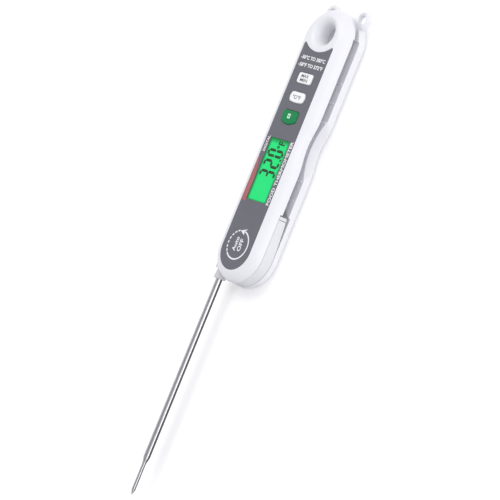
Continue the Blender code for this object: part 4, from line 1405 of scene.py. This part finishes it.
# %% Screws
def make_screw(name, radius, low, high, shank, end):
    profile = [(0, low), (radius * 0.55, low + 0.02), (radius * 0.85, low + 0.2), (radius, low + 0.7),
               (radius, high), (shank, high), (shank, end - 0.8), (0, end)]
    screw = turned(name, profile, 40)
    arm, half = radius * 0.6, radius * 0.13
    across = prism("recess_across", rectangle((-arm, arm), (-half, half)), (low - 1, low + 0.9))
    upright = prism("recess_upright", rectangle((-half, half), (-arm, arm)), (low - 1, low + 0.9))
    return soften(combine(screw, [across, upright]), 0)


def screw_tree():
    tree, given, result = geometry_tree("screws_on_points", [
        ("Screw", "Object"), ("Material", "Material")])
    model = add_node(tree, "GeometryNodeObjectInfo", {"Object": given.outputs["Screw"]})
    place = add_node(tree, "GeometryNodeInstanceOnPoints", {
        "Points": given.outputs["Geometry"], "Instance": model.outputs["Geometry"]})
    return realised(tree, place.outputs["Instances"], given, result)


def make_shell_screws():
    low, high = box_mm("shell_screw_1")
    model = make_screw("screw_model", (high.x - low.x) / 2, low.z, 3.0, 1.2, high.z)
    points = bpy.data.meshes.new("screw_places")
    points.from_pydata([(x * MM, y * MM, 0) for x, y in SCREW_PLACES], [], [])
    screws = grow_with("shell_screws", screw_tree(), {"Screw": model, "Material": SCREW_STEEL}, points)
    bpy.data.objects.remove(model)
    nodes = [f"shell_screw_{number}" for number in (1, 2, 3, 4)]
    return hand_over(screws, "handle", SCREW_STEEL, "steel", *nodes)


make_shell_screws()
pivot_low, pivot_high = box_mm("pivot_screw")
pivot = make_screw("pivot_screw_turned", pivot_high.x, pivot_low.z, 3.0, 1.3, pivot_high.z)
hand_over(pivot, "handle", SCREW_STEEL, "steel", "pivot_screw")

# %% Cell door
DOOR_RADIUS = 10.8
DOOR_FACE = 2.0
DOOR_WALL = (7.6, 8.8)
COIN_SLOT = ((-6.5, 6.5), (-0.9, 0.9))
LUG_RADII = (8.2, 11.8)
NECK_RADII = (8.4, 10.3)


def arc_band(name, radii, middle, half, heights, place):
    """A curved block between two radii, so many degrees to both sides of its middle."""
    inner, outer = radii
    outline = arc((0, 0), outer, middle - half, middle + half, 8)
    outline += arc((0, 0), inner, middle + half, middle - half, 8)
    return prism(name, outline, heights, place)


def make_door():
    low, wall_top = door_low.z, door_high.z
    radius, face = DOOR_RADIUS, DOOR_FACE
    inner, outer = DOOR_WALL
    profile = [(0, low), (radius - 0.5, low), (radius - 0.15, low + 0.15), (radius, low + 0.5),
               (radius, face), (outer, face), (outer, wall_top), (inner, wall_top),
               (inner, face), (0, face)]
    place = (*DOOR_CENTRE, 0)
    door = turned("cell_door_cover", profile, 96, place=place)
    lugs = []
    for middle in (90, 210, 330):
        lugs.append(arc_band("lug", LUG_RADII, middle, 11, (2.5, wall_top - 0.15), place))
        lugs.append(arc_band("neck", NECK_RADII, middle, 10, (face - 0.6, wall_top - 0.3), place))
    combine(door, lugs, "UNION")
    combine(door, [prism("coin_slot", rectangle(*COIN_SLOT), (-1.0, low + 1.0), place)])
    return hand_over(soften(door, 0), "cell_door", WHITE, "white_plastic", "battery_door")


make_door()

# %% [markdown]
# ## What is inside
#
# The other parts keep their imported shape, because only a glimpse of them ever shows through a
# gap. They still get real finishes, so the thermometer can be opened up in a later picture.

# %% Finishes of the inner parts
INNER_FINISHES = {
    BOARD: ["circuit_board"],
    EPOXY: ["controller_chip", "sensor_bead"],
    BRASS: ["reed_switch", "battery_contact_minus", "battery_contact_plus", "pivot_bushing"],
    RUBBER: ["lcd_connector_strip", "keypad_membrane", "cell_cushion", "hub_seal"],
    LIGHT_GUIDE: ["lcd_backlight"],
    DISPLAY: ["lcd_panel"],
    WIRE_RED: ["sensor_leads"],
    SCREW_STEEL: [
        "coin_cell", "dome_switch_1", "dome_switch_2", "dome_switch_3", "magnet_1", "magnet_2",
        "hub_magnet", "pivot_sleeve", "friction_washer",
    ],
}
for material, names in INNER_FINISHES.items():
    for name in names:
        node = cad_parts[name]
        for material_slot in node.material_slots:
            material_slot.material = material
print("inner parts finished:", sum(len(names) for names in INNER_FINISHES.values()))

# %% [markdown]
# ## How far the size has grown
#
# The finished surfaces must not be larger than the imported model. The cell prints how far the
# finished box reaches past the imported one on each side.

# %% Print the growth of the box
new_low, new_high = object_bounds()
growth = [*(cad_low - new_low), *(new_high - cad_high)]
print("grown by (mm):", [round(value / MM, 3) for value in growth])
